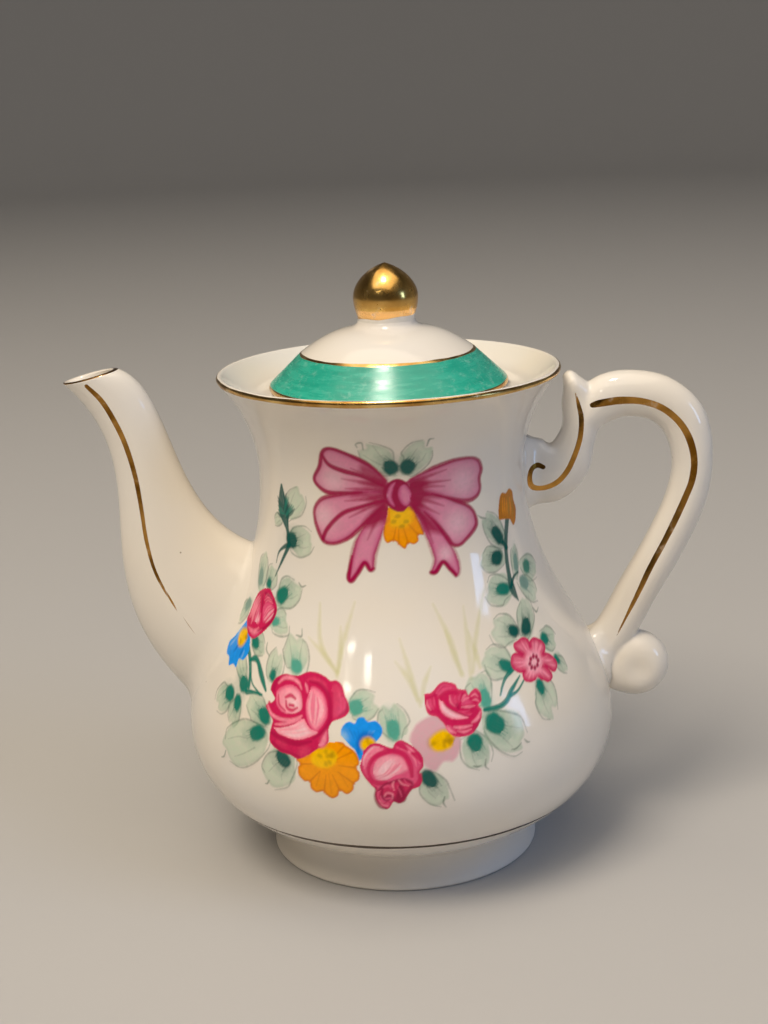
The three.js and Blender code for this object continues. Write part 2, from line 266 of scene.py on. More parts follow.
def noise(tree, vector, scale, detail=2.0, roughness=0.5):
    made = node(tree, "ShaderNodeTexNoise")
    made.inputs["Scale"].default_value = scale
    made.inputs["Detail"].default_value = detail
    made.inputs["Roughness"].default_value = roughness
    tree.links.new(vector, made.inputs["Vector"])
    return made.outputs["Fac"]


def remap(tree, value, low, high, to_low, to_high, smooth=False):
    made = node(tree, "ShaderNodeMapRange")
    made.interpolation_type = "SMOOTHSTEP" if smooth else "LINEAR"
    for name, number in (("From Min", low), ("From Max", high), ("To Min", to_low), ("To Max", to_high)):
        made.inputs[name].default_value = number
    tree.links.new(value, made.inputs["Value"])
    return made.outputs["Result"]


def combine(tree, operation, first, second):
    made = node(tree, "ShaderNodeMath", operation=operation)
    for place, value in enumerate((first, second)):
        if isinstance(value, (int, float)):
            made.inputs[place].default_value = value
        else:
            tree.links.new(value, made.inputs[place])
    return made.outputs[0]


def blend(tree, share, first, second):
    """A mix of two colours, each a socket or a constant."""
    made = node(tree, "ShaderNodeMix", data_type="RGBA")
    tree.links.new(share, made.inputs["Factor"])
    for place, colour in ((6, first), (7, second)):
        if isinstance(colour, tuple):
            made.inputs[place].default_value = colour
        else:
            tree.links.new(colour, made.inputs[place])
    return made.outputs[2]


def blend_value(tree, share, first, second):
    made = node(tree, "ShaderNodeMix", data_type="FLOAT")
    tree.links.new(share, made.inputs["Factor"])
    tree.links.new(first, made.inputs[2])
    tree.links.new(second, made.inputs[3])
    return made.outputs[0]


def paint_colour(code):
    """A colour written as on a paint card, such as D8406A, in the linear light that Blender computes with."""
    parts = [int(code[place:place + 2], 16) / 255 for place in (0, 2, 4)]
    linear = [part / 12.92 if part <= 0.04045 else ((part + 0.055) / 1.055) ** 2.4 for part in parts]
    return (*linear, 1.0)


# %% The glaze group
CREAM = paint_colour("F3EADB")
COOL_WHITE = paint_colour("F0ECE6")
IRON_SPECK = paint_colour("8A7A66")

glaze_group = bpy.data.node_groups.new("Fired glaze", "ShaderNodeTree")
socket(glaze_group, "Color", "NodeSocketColor", "OUTPUT")
socket(glaze_group, "Roughness", "NodeSocketFloat", "OUTPUT")
socket(glaze_group, "Height", "NodeSocketFloat", "OUTPUT")
glaze_end = node(glaze_group, "NodeGroupOutput")
glaze_place = own_place(glaze_group)
drift = remap(glaze_group, noise(glaze_group, glaze_place, 38), 0.3, 0.7, 0, 1)
clean_glaze = blend(glaze_group, drift, CREAM, COOL_WHITE)
cells = node(glaze_group, "ShaderNodeTexVoronoi")
cells.inputs["Scale"].default_value = 190
glaze_group.links.new(glaze_place, cells.inputs["Vector"])
rare = remap(glaze_group, cells.outputs["Color"], 0.72, 0.74, 0, 1)
dot = remap(glaze_group, cells.outputs["Distance"], 0.02, 0.035, 0.8, 0)
specks = combine(glaze_group, "MULTIPLY", rare, dot)
glaze_group.links.new(blend(glaze_group, specks, clean_glaze, IRON_SPECK), glaze_end.inputs["Color"])
gloss = remap(glaze_group, noise(glaze_group, glaze_place, 240, 3), 0.3, 0.7, 0.05, 0.11)
glaze_group.links.new(gloss, glaze_end.inputs["Roughness"])
glaze_group.links.new(noise(glaze_group, glaze_place, 130, 1), glaze_end.inputs["Height"])
print("glaze group with", len(glaze_group.nodes), "nodes")

# %% [markdown]
# ## Gilding
#
# The gold lines are brushed on over the glaze and fired: a film so thin that it has no height. So they
# are not extra geometry. Each mesh carries an attribute that says how far a point lies inside a line, in
# millimetres, and negative outside. Blender interpolates that distance smoothly over each face, so a
# material that cuts it at zero gets a crisp edge on quite a coarse mesh. A little noise is added to the
# distance first, which makes the edge waver as a brush does, and a second noise thins the gold in places,
# as handling does.

# %% The gilding group
gilt_group = bpy.data.node_groups.new("Brushed gold", "ShaderNodeTree")
socket(gilt_group, "Dark gold", "NodeSocketColor", "INPUT", paint_colour("7A5218"))
socket(gilt_group, "Bright gold", "NodeSocketColor", "INPUT", paint_colour("C8954A"))
socket(gilt_group, "Mask", "NodeSocketFloat", "OUTPUT")
socket(gilt_group, "Color", "NodeSocketColor", "OUTPUT")
socket(gilt_group, "Roughness", "NodeSocketFloat", "OUTPUT")
gilt_start = node(gilt_group, "NodeGroupInput")
gilt_end = node(gilt_group, "NodeGroupOutput")
gilt_place = own_place(gilt_group)
gilt_inside = node(gilt_group, "ShaderNodeAttribute", attribute_name="gilt").outputs["Fac"]
waver = remap(gilt_group, noise(gilt_group, gilt_place, 350), 0.2, 0.8, -0.03, 0.03)
brushed = remap(gilt_group, combine(gilt_group, "ADD", gilt_inside, waver), -0.05, 0.05, 0, 1, True)
thin = remap(gilt_group, noise(gilt_group, gilt_place, 420, 4), 0.62, 0.74, 1, 0.55)
gilt_group.links.new(combine(gilt_group, "MULTIPLY", brushed, thin), gilt_end.inputs["Mask"])
tone = remap(gilt_group, noise(gilt_group, gilt_place, 210, 3), 0.35, 0.65, 0, 1)
gold_tone = blend(gilt_group, tone, gilt_start.outputs["Dark gold"], gilt_start.outputs["Bright gold"])
gilt_group.links.new(gold_tone, gilt_end.inputs["Color"])
gold_gloss = remap(gilt_group, noise(gilt_group, gilt_place, 600, 3), 0.3, 0.7, 0.14, 0.3)
gilt_group.links.new(gold_gloss, gilt_end.inputs["Roughness"])
print("gilding group with", len(gilt_group.nodes), "nodes")

# %% [markdown]
# ## Glazed and gilded finishes
#
# Three materials share both groups: one for the spout and the handle, one for the pot, with a bright gold
# on the lip, and one for the knob. The pot's line above the foot is painted in a dark brown gold, a painted
# dark reflection of dark surroundings in the gold, and the knob's gold is painted paler near its foot, a
# painted reflection of the white lid. The potter wipes the foot ring before the firing so that it won't stick
# to the kiln shelf, so the pot's gloss is drier there.

# %% Glazed and gilded materials
BUMP_STRENGTH, BUMP_HEIGHT = 0.5, 0.00006
GLAZE_IOR = 1.52
RIM_GOLD = (paint_colour("B98A45"), paint_colour("F0CD86"))
KNOB_GOLD = (paint_colour("C9974A"), paint_colour("EFC373"))
# Pale gold for the knob's foot, a painted reflection of the white lid.
KNOB_FOOT_PAINTED_REFLECTION = paint_colour("FFCB86")
# Dark brown gold for the foot line, a painted dark reflection of dark surroundings.
FOOT_LINE_PAINTED_DARK_REFLECTION = paint_colour("4E3718")
WIPED_BELOW, GLAZED_ABOVE = 0.004, 0.0065
PAINTED_DARK_BELOW, PAINTED_DARK_ENDS_ABOVE = 0.02, 0.03
FOOT_REFLECTION_BELOW, FOOT_REFLECTION_ENDS_ABOVE = 0.0926, 0.0928


def place_group(tree, group):
    made = node(tree, "ShaderNodeGroup")
    made.node_tree = group
    return made


def place_gold(tree, *tones):
    made = place_group(tree, gilt_group)
    for name, tone in zip(("Dark gold", "Bright gold"), tones):
        made.inputs[name].default_value = tone
    return made


def new_material(name):
    """A material with the glaze group's bump. The caller links colour and roughness."""
    made = bpy.data.materials.new(name)
    made.use_nodes = True
    tree = made.node_tree
    shader = tree.nodes["Principled BSDF"]
    shader.inputs["IOR"].default_value = GLAZE_IOR
    glaze = place_group(tree, glaze_group)
    bump = node(tree, "ShaderNodeBump")
    bump.inputs["Strength"].default_value = BUMP_STRENGTH
    bump.inputs["Distance"].default_value = BUMP_HEIGHT
    tree.links.new(glaze.outputs["Height"], bump.inputs["Height"])
    tree.links.new(bump.outputs["Normal"], shader.inputs["Normal"])
    return made, tree, shader, glaze


def gild(tree, shader, colour, roughness, gold, film=None):
    """Links colour and roughness with gold laid over them. film is the gold's colour, if not the group's."""
    film = gold.outputs["Color"] if film is None else film
    tree.links.new(blend(tree, gold.outputs["Mask"], colour, film), shader.inputs["Base Color"])
    mixed_gloss = blend_value(tree, gold.outputs["Mask"], roughness, gold.outputs["Roughness"])
    tree.links.new(mixed_gloss, shader.inputs["Roughness"])
    tree.links.new(gold.outputs["Mask"], shader.inputs["Metallic"])


porcelain, tree, shader, glaze = new_material("glazed_porcelain")
gold = place_gold(tree)
gild(tree, shader, glaze.outputs["Color"], glaze.outputs["Roughness"], gold)

rim_porcelain, tree, shader, glaze = new_material("gold_rimmed_porcelain")
gold = place_gold(tree, *RIM_GOLD)
rim_place = own_place(tree)
height = parts_of(tree, rim_place)["Z"]
wiped = remap(tree, height, WIPED_BELOW, GLAZED_ABOVE, 1, 0, True)
wiped_gloss = remap(tree, noise(tree, rim_place, 700, 3), 0.3, 0.7, 0.42, 0.56)
pot_gloss = blend_value(tree, wiped, glaze.outputs["Roughness"], wiped_gloss)
# Below 2 cm the gold is painted dark brown: a painted dark reflection on the foot line.
painted_dark_reflection_share = remap(tree, height, PAINTED_DARK_BELOW, PAINTED_DARK_ENDS_ABOVE, 1, 0)
film = blend(tree, painted_dark_reflection_share, gold.outputs["Color"], FOOT_LINE_PAINTED_DARK_REFLECTION)
gild(tree, shader, glaze.outputs["Color"], pot_gloss, gold, film)

knob_gold, tree, shader, glaze = new_material("gilded_knob")
gold = place_gold(tree, *KNOB_GOLD)
# Near its foot the knob's gold is painted paler: a painted reflection of the white lid.
painted_foot_reflection = remap(tree, parts_of(tree, own_place(tree))["Z"], FOOT_REFLECTION_BELOW, FOOT_REFLECTION_ENDS_ABOVE, 1, 0)
film = blend(tree, painted_foot_reflection, gold.outputs["Color"], KNOB_FOOT_PAINTED_REFLECTION)
gild(tree, shader, glaze.outputs["Color"], glaze.outputs["Roughness"], gold, film)
print("materials:", porcelain.name, rim_porcelain.name, knob_gold.name)

# %% [markdown]
# ## Pot
#
# The pot is one outline: the hollow under the foot, the foot ring, a low full belly, a slim neck, the
# flared lip, the ledge that carries the lid, the throat and the inside. The outside is three cubic curves
# that share their directions where they meet. The same numbers drive the solid model, so the finer pot
# stands exactly in its place.

# %% The pot's outline
FOOT_RADIUS, FOOT_RING_WIDTH, FOOT_RECESS, FOOT_ROUND = 22.9, 3.4, 2.2, 0.5
FOOT_HEIGHT, FOOT_WAIST_RADIUS = 6.1, 21.6
BELLY_RADIUS, BELLY_HEIGHT = 36.15, 23.3
NECK_RADIUS, NECK_HEIGHT = 22, 66.5
RIM_RADIUS, RIM_HEIGHT, LIP_ROUND = 28.2, 82.4, 0.6
POT_WALL, POT_FLOOR = 2.2, 2.6
UNDERSIDE_RUN, UNDERSIDE_SLOPE = 7.6, math.radians(18.5)
BELLY_RUN_BELOW, BELLY_RUN_ABOVE, NECK_RUN_BELOW, NECK_RUN_ABOVE = 9, 16, 22.7, 7.4
FLARE_RUN, SEAT_RUN = 2.5, 2.4
SEAT_HEIGHT, SEAT_RADIUS, THROAT_RADIUS, THROAT_LENGTH = 79.7, 20.9, 18, 4
THROAT_STEP = 2

lip_centre = np.array((RIM_RADIUS - LIP_ROUND, RIM_HEIGHT))
lip = [
    lip_centre + LIP_ROUND * np.array((math.cos(angle), math.sin(angle)))
    for angle in np.linspace(math.radians(-45), math.radians(135), 13)
]
waist = (FOOT_WAIST_RADIUS, FOOT_HEIGHT)
underside = (
    FOOT_WAIST_RADIUS + UNDERSIDE_RUN * math.cos(UNDERSIDE_SLOPE),
    FOOT_HEIGHT + UNDERSIDE_RUN * math.sin(UNDERSIDE_SLOPE),
)
belly = (BELLY_RADIUS, BELLY_HEIGHT)
neck = (NECK_RADIUS, NECK_HEIGHT)
SMOOTH_STEPS = 400
outside = np.vstack([
    cubic(waist, underside, (BELLY_RADIUS, BELLY_HEIGHT - BELLY_RUN_BELOW), belly, SMOOTH_STEPS),
    cubic(belly, (BELLY_RADIUS, BELLY_HEIGHT + BELLY_RUN_ABOVE), (NECK_RADIUS, NECK_HEIGHT - NECK_RUN_BELOW),
          neck, SMOOTH_STEPS)[1:],
    cubic(neck, (NECK_RADIUS, NECK_HEIGHT + NECK_RUN_ABOVE), lip[0] - FLARE_RUN, lip[0], SMOOTH_STEPS)[1:],
])


def pot_radius(height):
    """Radius of the pot's outside at a height."""
    return np.interp(height, outside[:, 1], outside[:, 0])


ring_inside = FOOT_RADIUS - FOOT_RING_WIDTH
floor_height = FOOT_RECESS + POT_FLOOR
ways = np.gradient(outside, axis=0)
ways /= np.linalg.norm(ways, axis=1)[:, None]
inside = outside + POT_WALL * np.stack([-ways[:, 1], ways[:, 0]], -1)
throat_end = SEAT_HEIGHT - THROAT_LENGTH
inside = inside[inside[:, 1] < throat_end - THROAT_STEP][::-1]
inside_foot = inside[-1]
pot_outline = np.vstack([
    [(0, FOOT_RECESS), (ring_inside - FOOT_RECESS / 2, FOOT_RECESS), (ring_inside, 0)],
    quadratic((FOOT_RADIUS - FOOT_ROUND, 0), (FOOT_RADIUS, 0), (FOOT_RADIUS, FOOT_ROUND), 4),
    quadratic((FOOT_RADIUS, FOOT_ROUND), (FOOT_WAIST_RADIUS, FOOT_HEIGHT / 3), waist)[1:],
    outside[1:],
    lip[1:],
    cubic(lip[-1], lip[-1] - SEAT_RUN, (SEAT_RADIUS + SEAT_RUN, SEAT_HEIGHT),
          (SEAT_RADIUS, SEAT_HEIGHT))[1:],
    [(THROAT_RADIUS, SEAT_HEIGHT), (THROAT_RADIUS, throat_end)],
    inside,
    quadratic(
        inside_foot,
        (inside_foot[0] - POT_FLOOR / 2, floor_height),
        (inside_foot[0] - 2 * POT_FLOOR, floor_height),
    )[1:],
    [(0, floor_height)],
])
print("outside from", np.round(outside[0], 1), "to", np.round(outside[-1], 1))

# %% [markdown]
# Two gold lines run round the pot: a band on the outer edge of the lip and a thin one low on the belly. A
# line drawn by hand on a turning wheel swells and thins a little, so its half width varies with the
# angle.

# %% The pot
POT_SEGMENTS = 240
LIP_BAND_HALF, FOOT_LINE_HALF, FOOT_LINE_HEIGHT = 0.5, 0.42, 12.4
lip_band = (lip_centre + LIP_ROUND * np.array((1, 0.1)), LIP_BAND_HALF)
foot_line = ((pot_radius(FOOT_LINE_HEIGHT), FOOT_LINE_HEIGHT), FOOT_LINE_HALF)


def hand_drawn(points, gilt, swell=0.07):
    """The distance inside a line that runs round the axis, swelling and thinning with the angle."""
    angle = np.arctan2(points[:, 1], points[:, 0])
    return gilt + swell * (np.sin(3 * angle + 0.4) + 0.7 * np.sin(7 * angle + 2) + 0.4 * np.sin(17 * angle))


pot_rows, pot_gilt = picked_rows(melted(pot_outline), [lip_band, foot_line])
pot_points, pot_faces, pot_row_of = turned(pot_rows, POT_SEGMENTS)
pot = add_piece("pot", pot_points, pot_faces, rim_porcelain)
note(pot, "gilt", hand_drawn(pot_points, pot_gilt[pot_row_of]))

# %% [markdown]
# Tea leaves the pot through a round hole behind the spout. A boolean with a cylinder is enough, because
# the hole shows only from inside when the lid is up.

# %% The pour hole
POUR_HOLE_RADIUS, POUR_HOLE_HEIGHT = 4, 41


def drill(sides=40, length=2 * (BELLY_RADIUS - NECK_RADIUS + POT_WALL)):
    angles = np.linspace(0, 2 * math.pi, sides, endpoint=False)
    ends = [
        (-BELLY_RADIUS + side * length / 2, POUR_HOLE_RADIUS * math.cos(angle),
         POUR_HOLE_HEIGHT + POUR_HOLE_RADIUS * math.sin(angle))
        for side in (-1, 1)
        for angle in angles
    ]
    walls = [
        (step, (step + 1) % sides, sides + (step + 1) % sides, sides + step)
        for step in range(sides)
    ]
    return add_piece("drill", ends, [*walls, range(sides)[::-1], range(sides, 2 * sides)], porcelain)


tool = drill()
hole = pot.modifiers.new("pour hole", "BOOLEAN")
hole.operation = "DIFFERENCE"
hole.solver = "EXACT"
hole.object = tool
settle(pot)
bpy.data.objects.remove(tool)
belongs(pot, "pot", "porcelain", "pot_body")

# %% [markdown]
# ## Spout
#
# A swan-neck spout is a skin of oval rings between two edge curves: a long outer one and a short inner
# one. The potter joins it to the pot with slip and smooths the joint, so its foot has to flow into the
# belly. Each line along the spout is followed down to the point where it meets the pot. There it leaves
# its own course and turns along the belly in a short curve that ends a hair under the glaze. At the top,
# the wall is rolled over into the bore, which runs down far enough that nobody can see its end.

# %% The spout's edges
SPOUT_REACH, SPOUT_LIP_HEIGHT = 53.2, 82.1
SPOUT_LIP_LENGTH, SPOUT_LIP_RISE, SPOUT_LIP_DEPTH = 9.1, 2.1, 6.8
SPOUT_ROOT_LOW, SPOUT_ROOT_HIGH, SPOUT_ROOT_DEPTH, SPOUT_WALL = 26.1, 53, 19, 1.1
SPOUT_ROOT_SINK = 2
OUTER_ROOT_LEAN, OUTER_ROOT_RUN, OUTER_LIP_LEAN, OUTER_LIP_RUN = 45, 32, 45, 23.5
INNER_ROOT_LEAN, INNER_ROOT_RUN, INNER_LIP_LEAN, INNER_LIP_RUN = 18.5, 17, 23, 10.2


def leaning_edge(start, start_lean, start_run, end, end_lean, end_run):
    """A curve in the plane of the spout. Leans are degrees above level, runs are how far they hold."""

    def step(lean, run):
        return np.array((-run * math.cos(math.radians(lean)), run * math.sin(math.radians(lean))))

    start, end = np.array(start, float), np.array(end, float)
    return cubic(start, start + step(start_lean, start_run), end - step(end_lean, end_run), end,
                 SMOOTH_STEPS)


outer_root = (SPOUT_ROOT_SINK - BELLY_RADIUS, SPOUT_ROOT_LOW)
outer_lip = (-SPOUT_REACH, SPOUT_LIP_HEIGHT)
outer_edge = leaning_edge(
    outer_root, OUTER_ROOT_LEAN, OUTER_ROOT_RUN, outer_lip, OUTER_LIP_LEAN, OUTER_LIP_RUN
)
inner_root = (-NECK_RADIUS, SPOUT_ROOT_HIGH)
inner_lip = (SPOUT_LIP_LENGTH - SPOUT_REACH, SPOUT_LIP_HEIGHT + SPOUT_LIP_RISE)
inner_edge = leaning_edge(
    inner_root, INNER_ROOT_LEAN, INNER_ROOT_RUN, inner_lip, INNER_LIP_LEAN, INNER_LIP_RUN
)


def on_edge(edge, share):
    """The points at a share of an edge curve, from 0 at the root to 1 at the lip."""
    places = np.clip(share, 0, 1) * (len(edge) - 1)
    return np.stack([np.interp(places, np.arange(len(edge)), edge[:, axis]) for axis in range(2)], -1)


def spout_point(t, angle, inset=0.0):
    """A point of the spout's skin, t along it and angle around it, moved in by inset."""
    inner = on_edge(inner_edge, t * t)
    outer = on_edge(outer_edge, t)
    across = outer - inner
    across /= np.linalg.norm(across, axis=-1, keepdims=True)
    inner, outer = inner + inset * across, outer - inset * across
    share = ((1 - np.cos(angle)) / 2)[..., None]
    flat = inner + share * (outer - inner)
    half = (SPOUT_LIP_DEPTH + (SPOUT_ROOT_DEPTH - SPOUT_LIP_DEPTH) * (1 - t) ** 2) / 2 - inset
    return np.stack([flat[..., 0], half * np.sin(angle), flat[..., 1]], -1)


print("spout lip", np.round(outer_edge[-1], 1), np.round(inner_edge[-1], 1))

# %% The spout's skin, foot and bore
SPOUT_SIDES, SPOUT_ROWS, FOOT_ROWS, LIP_ROWS, BORE_ROWS = 168, 150, 12, 7, 24
GLAZE_COVER = 0.04
BORE_END = 0.42
FOOT_RUN_AT, FOOT_RUNS = (0, 0.12, 0.5, 1), (0.5, 0.9, 3.6, 2.4)
SEARCH_STEPS = 700
LIP_BULGE = 0.4

spin = np.linspace(0, 2 * math.pi, SPOUT_SIDES, endpoint=False)
from_top = np.abs(np.arctan2(np.sin(spin), np.cos(spin))) / math.pi
foot_run = np.interp(from_top, FOOT_RUN_AT, FOOT_RUNS)
down = np.linspace(1, 0, SEARCH_STEPS)
lines = spout_point(down[:, None] + 0 * spin, 0 * down[:, None] + spin)
above_pot = np.hypot(lines[..., 0], lines[..., 1]) - pot_radius(lines[..., 2])
meets = np.argmax(above_pot < 0, axis=0)
meeting = np.stack([lines[row, side] for side, row in enumerate(meets)])
root_middle = meeting.mean(axis=0)
starts = np.empty(SPOUT_SIDES)
for side, row in enumerate(meets):
    run = lengths_along(lines[: row + 1, side])
    starts[side] = np.interp(run[-1] - foot_run[side], run, down[: row + 1])


def onto_pot(points, cover):
    """The points pressed onto the pot's outside, cover under it."""
    angle = np.arctan2(points[:, 1], points[:, 0])
    radius = pot_radius(points[:, 2]) - cover
    return np.stack([radius * np.cos(angle), radius * np.sin(angle), points[:, 2]], -1)


outward = meeting - root_middle
steepness = np.interp(meeting[:, 2], outside[:, 1], np.gradient(outside[:, 0], outside[:, 1]))
compass = np.arctan2(meeting[:, 1], meeting[:, 0])
normals = np.stack([np.cos(compass), np.sin(compass), -steepness], -1)
normals /= np.linalg.norm(normals, axis=1)[:, None]
outward -= (outward * normals).sum(axis=1)[:, None] * normals
outward /= np.linalg.norm(outward, axis=1)[:, None]
landing = onto_pot(meeting + foot_run[:, None] * outward, GLAZE_COVER)
leaving = spout_point(starts, spin)

rolled = []
lip_way = (spout_point(np.ones(1), spin[:1]) - spout_point(np.full(1, 0.99), spin[:1]))[0]
lip_way /= np.linalg.norm(lip_way)
for turn in np.linspace(math.pi, 0, LIP_ROWS):
    ring = spout_point(np.ones(SPOUT_SIDES), spin, SPOUT_WALL / 2 * (1 - math.cos(turn)))
    rolled.append(ring + LIP_BULGE * SPOUT_WALL * math.sin(turn) * lip_way)
bore = [spout_point(np.full(SPOUT_SIDES, t), spin, SPOUT_WALL) for t in np.linspace(BORE_END, 1, BORE_ROWS)]
skin = [spout_point(1 + share * (starts - 1), spin) for share in np.linspace(0, 1, SPOUT_ROWS)]
foot = [
    (1 - t) ** 2 * leaving + 2 * t * (1 - t) * meeting + t * t * landing
    for t in np.linspace(0, 1, FOOT_ROWS)
]
spout_rings = [*bore[:-1], *rolled, *skin[1:], *foot[1:]]


def ring_faces(count, sides):
    """Faces of a tube of count rings that are stored one after another."""
    return [
        (ring * sides + step, ring * sides + (step + 1) % sides,
         (ring + 1) * sides + (step + 1) % sides, (ring + 1) * sides + step)
        for ring in range(count - 1)
        for step in range(sides)
    ]


spout_points = np.concatenate(spout_rings)
spout = add_piece("spout_skin", spout_points, ring_faces(len(spout_rings), SPOUT_SIDES), porcelain)
belongs(spout, "pot", "porcelain", "spout")

# %% [markdown]
# A gold line is drawn down each flank of the spout, and the lip has a gold edge. The flanks lie nearly
# flat to the plane of spout and handle, so the distance to the line is measured in that plane, which
# draws it on both flanks at once. The line is a smooth curve through a few points with a half width at
# each.

# %% Gold on the spout
LINE_STEP = 0.1


def smooth_path(points, per_span=14):
    """A smooth curve through all the points, evenly followed in each span."""
    points = np.array(points, float)
    ends = np.vstack([2 * points[0] - points[1], points, 2 * points[-1] - points[-2]])
    t = np.linspace(0, 1, per_span, endpoint=False)[:, None]
    spans = []
    for before, start, end, after in zip(ends, ends[1:], ends[2:], ends[3:]):
        leave, arrive = (end - before) / 2, (after - start) / 2
        bend = 3 * (end - start) - 2 * leave - arrive
        settle_in = 2 * (start - end) + leave + arrive
        spans.append(start + leave * t + bend * t**2 + settle_in * t**3)
    return np.vstack([*spans, points[-1:]])


def evenly(path, spacing):
    """The path followed at an even spacing, measured in its first two columns."""
    along = lengths_along(path[:, :2])
    places = np.linspace(0, along[-1], int(along[-1] / spacing) + 2)
    return np.stack([np.interp(places, along, column) for column in path.T], -1)


def inside_line(places, stations):
    """How far each (x, z) place lies inside a line through stations of (x, z, half width)."""
    path = evenly(smooth_path(stations), LINE_STEP)
    best = np.full(len(places), FAR_OUTSIDE)
    for x, z, half in path:
        best = np.maximum(best, half - np.hypot(places[:, 0] - x, places[:, 1] - z))
    return best


SPOUT_LINE = [
    (-49, 82.2, 0.34), (-46.7, 79.6, 0.44), (-44.8, 75.9, 0.45), (-43.4, 72.2, 0.45), (-42.2, 67.1, 0.4),
    (-41.5, 61.3, 0.34), (-41, 56.1, 0.32), (-39.8, 50.9, 0.28), (-37.3, 46, 0.2), (-32.3, 38.6, 0.03),
]
LIP_LINE_HALF = 0.34
flat_places = spout_points[:, [0, 2]]
spout_gilt = inside_line(flat_places, SPOUT_LINE)
bore_end = (BORE_ROWS - 1) * SPOUT_SIDES
lip_end = bore_end + LIP_ROWS * SPOUT_SIDES
lip_turns = np.repeat(np.linspace(math.pi, 0, LIP_ROWS), SPOUT_SIDES)
below_lip = np.array(spout_rings[BORE_ROWS - 1 + LIP_ROWS:]) - skin[0]
spout_gilt[:bore_end] = FAR_OUTSIDE
spout_gilt[bore_end:lip_end] = LIP_LINE_HALF - np.abs(lip_turns - math.pi / 4) * SPOUT_WALL / 2
spout_gilt[lip_end:] = np.maximum(spout_gilt[lip_end:], -np.linalg.norm(below_lip, axis=-1).ravel())
note(spout, "gilt", spout_gilt)

# %% [markdown]
# ## Handle
#
# The handle is pressed in a mould: a loop, an upright thumb rest that curls into a scroll on the neck,
# and a ball on the belly with a soft hollow in each side. The parts are made as closed skins and then
# melted together. The Remesh modifier turns them into one skin on a fine grid, and a smoothing pass fills
# the corners as glaze does. Where the handle comes near the pot it is swelled a little, which gives the
# joint its fillet.

# %% The handle's parts
HANDLE_REACH, HANDLE_THICKNESS, HANDLE_TOP_THICKNESS, HANDLE_DEPTH = 53.2, 6.5, 7.4, 6.6
THUMB_SIDE, THUMB_TOP, THUMB_DEPTH = 28.7, 80.8, 5.4
UPRIGHT_THICKNESS, SCROLL_THICKNESS, SCROLL_HEIGHT = 5.6, 10.6, 64.5
BALL_RADIUS, BALL_DEPTH, BALL_REACH, BALL_HEIGHT = 5.6, 9, 40.5, 30
DIMPLE_WIDTH, DIMPLE_DEPTH = 2.7, 1.0
ROOT_SINK = 4
INSIDE_FLATNESS, INSIDE_LEAN = 0.65, 0.25


def strap(stations, sides=48, per_span=10):
    """A closed skin along stations of (x, z, thickness, depth), round outside and flatter inside the loop."""
    path = smooth_path(stations, per_span)
    way = np.gradient(path[:, :2], axis=0)
    way /= np.linalg.norm(way, axis=1)[:, None]
    around = np.linspace(0, 2 * math.pi, sides, endpoint=False)
    boxy = np.where(np.cos(around) > 0, INSIDE_FLATNESS, 1)
    across = np.sign(np.cos(around)) * np.abs(np.cos(around)) ** boxy
    deep = np.sign(np.sin(around)) * np.abs(np.sin(around)) ** boxy
    deep *= 1 - INSIDE_LEAN * np.clip(across, 0, 1)
    rings = []
    for (x, z, thickness, depth), (along_x, along_z) in zip(path, way):
        reach = thickness / 2 * across
        rings.append(np.stack([x + along_z * reach, depth / 2 * deep, z - along_x * reach], -1))
    count = len(rings)
    caps = [list(range(sides))[::-1], list(range((count - 1) * sides, count * sides))]
    return np.concatenate(rings), ring_faces(count, sides) + caps


def upright_at(share):
    """A height on the upright, from 0 at the thumb rest to 1 at the scroll."""
    return THUMB_TOP + share * (SCROLL_HEIGHT - THUMB_TOP)


root = BELLY_RADIUS - ROOT_SINK
LOOP = [
    (THUMB_SIDE + 2.5, upright_at(0.64), 4.6, HANDLE_DEPTH),
    (THUMB_SIDE + 3.4, upright_at(0.47), 5.6, HANDLE_DEPTH),
    (THUMB_SIDE + 6.3, upright_at(0.29), HANDLE_TOP_THICKNESS, HANDLE_DEPTH),
    (HANDLE_REACH - 14.3, THUMB_TOP - 3.7, HANDLE_TOP_THICKNESS, HANDLE_DEPTH),
    (HANDLE_REACH - 8.8, THUMB_TOP - 4.8, HANDLE_TOP_THICKNESS, HANDLE_DEPTH),
    (HANDLE_REACH - 4.7, THUMB_TOP - 8.7, HANDLE_TOP_THICKNESS, HANDLE_DEPTH),
    (HANDLE_REACH - 3.25, THUMB_TOP - 15.2, HANDLE_THICKNESS, HANDLE_DEPTH),
    (HANDLE_REACH - 4.3, THUMB_TOP - 22, HANDLE_THICKNESS, HANDLE_DEPTH),
    (HANDLE_REACH - 7.8, THUMB_TOP - 29.8, HANDLE_THICKNESS, HANDLE_DEPTH),
    (BALL_REACH + 0.3, BALL_HEIGHT + 12.9, HANDLE_THICKNESS, HANDLE_DEPTH),
    (BALL_REACH - 2.9, BALL_HEIGHT + 6.9, HANDLE_THICKNESS, HANDLE_DEPTH),
    (root, BALL_HEIGHT - 1.5, HANDLE_THICKNESS, HANDLE_DEPTH),
]
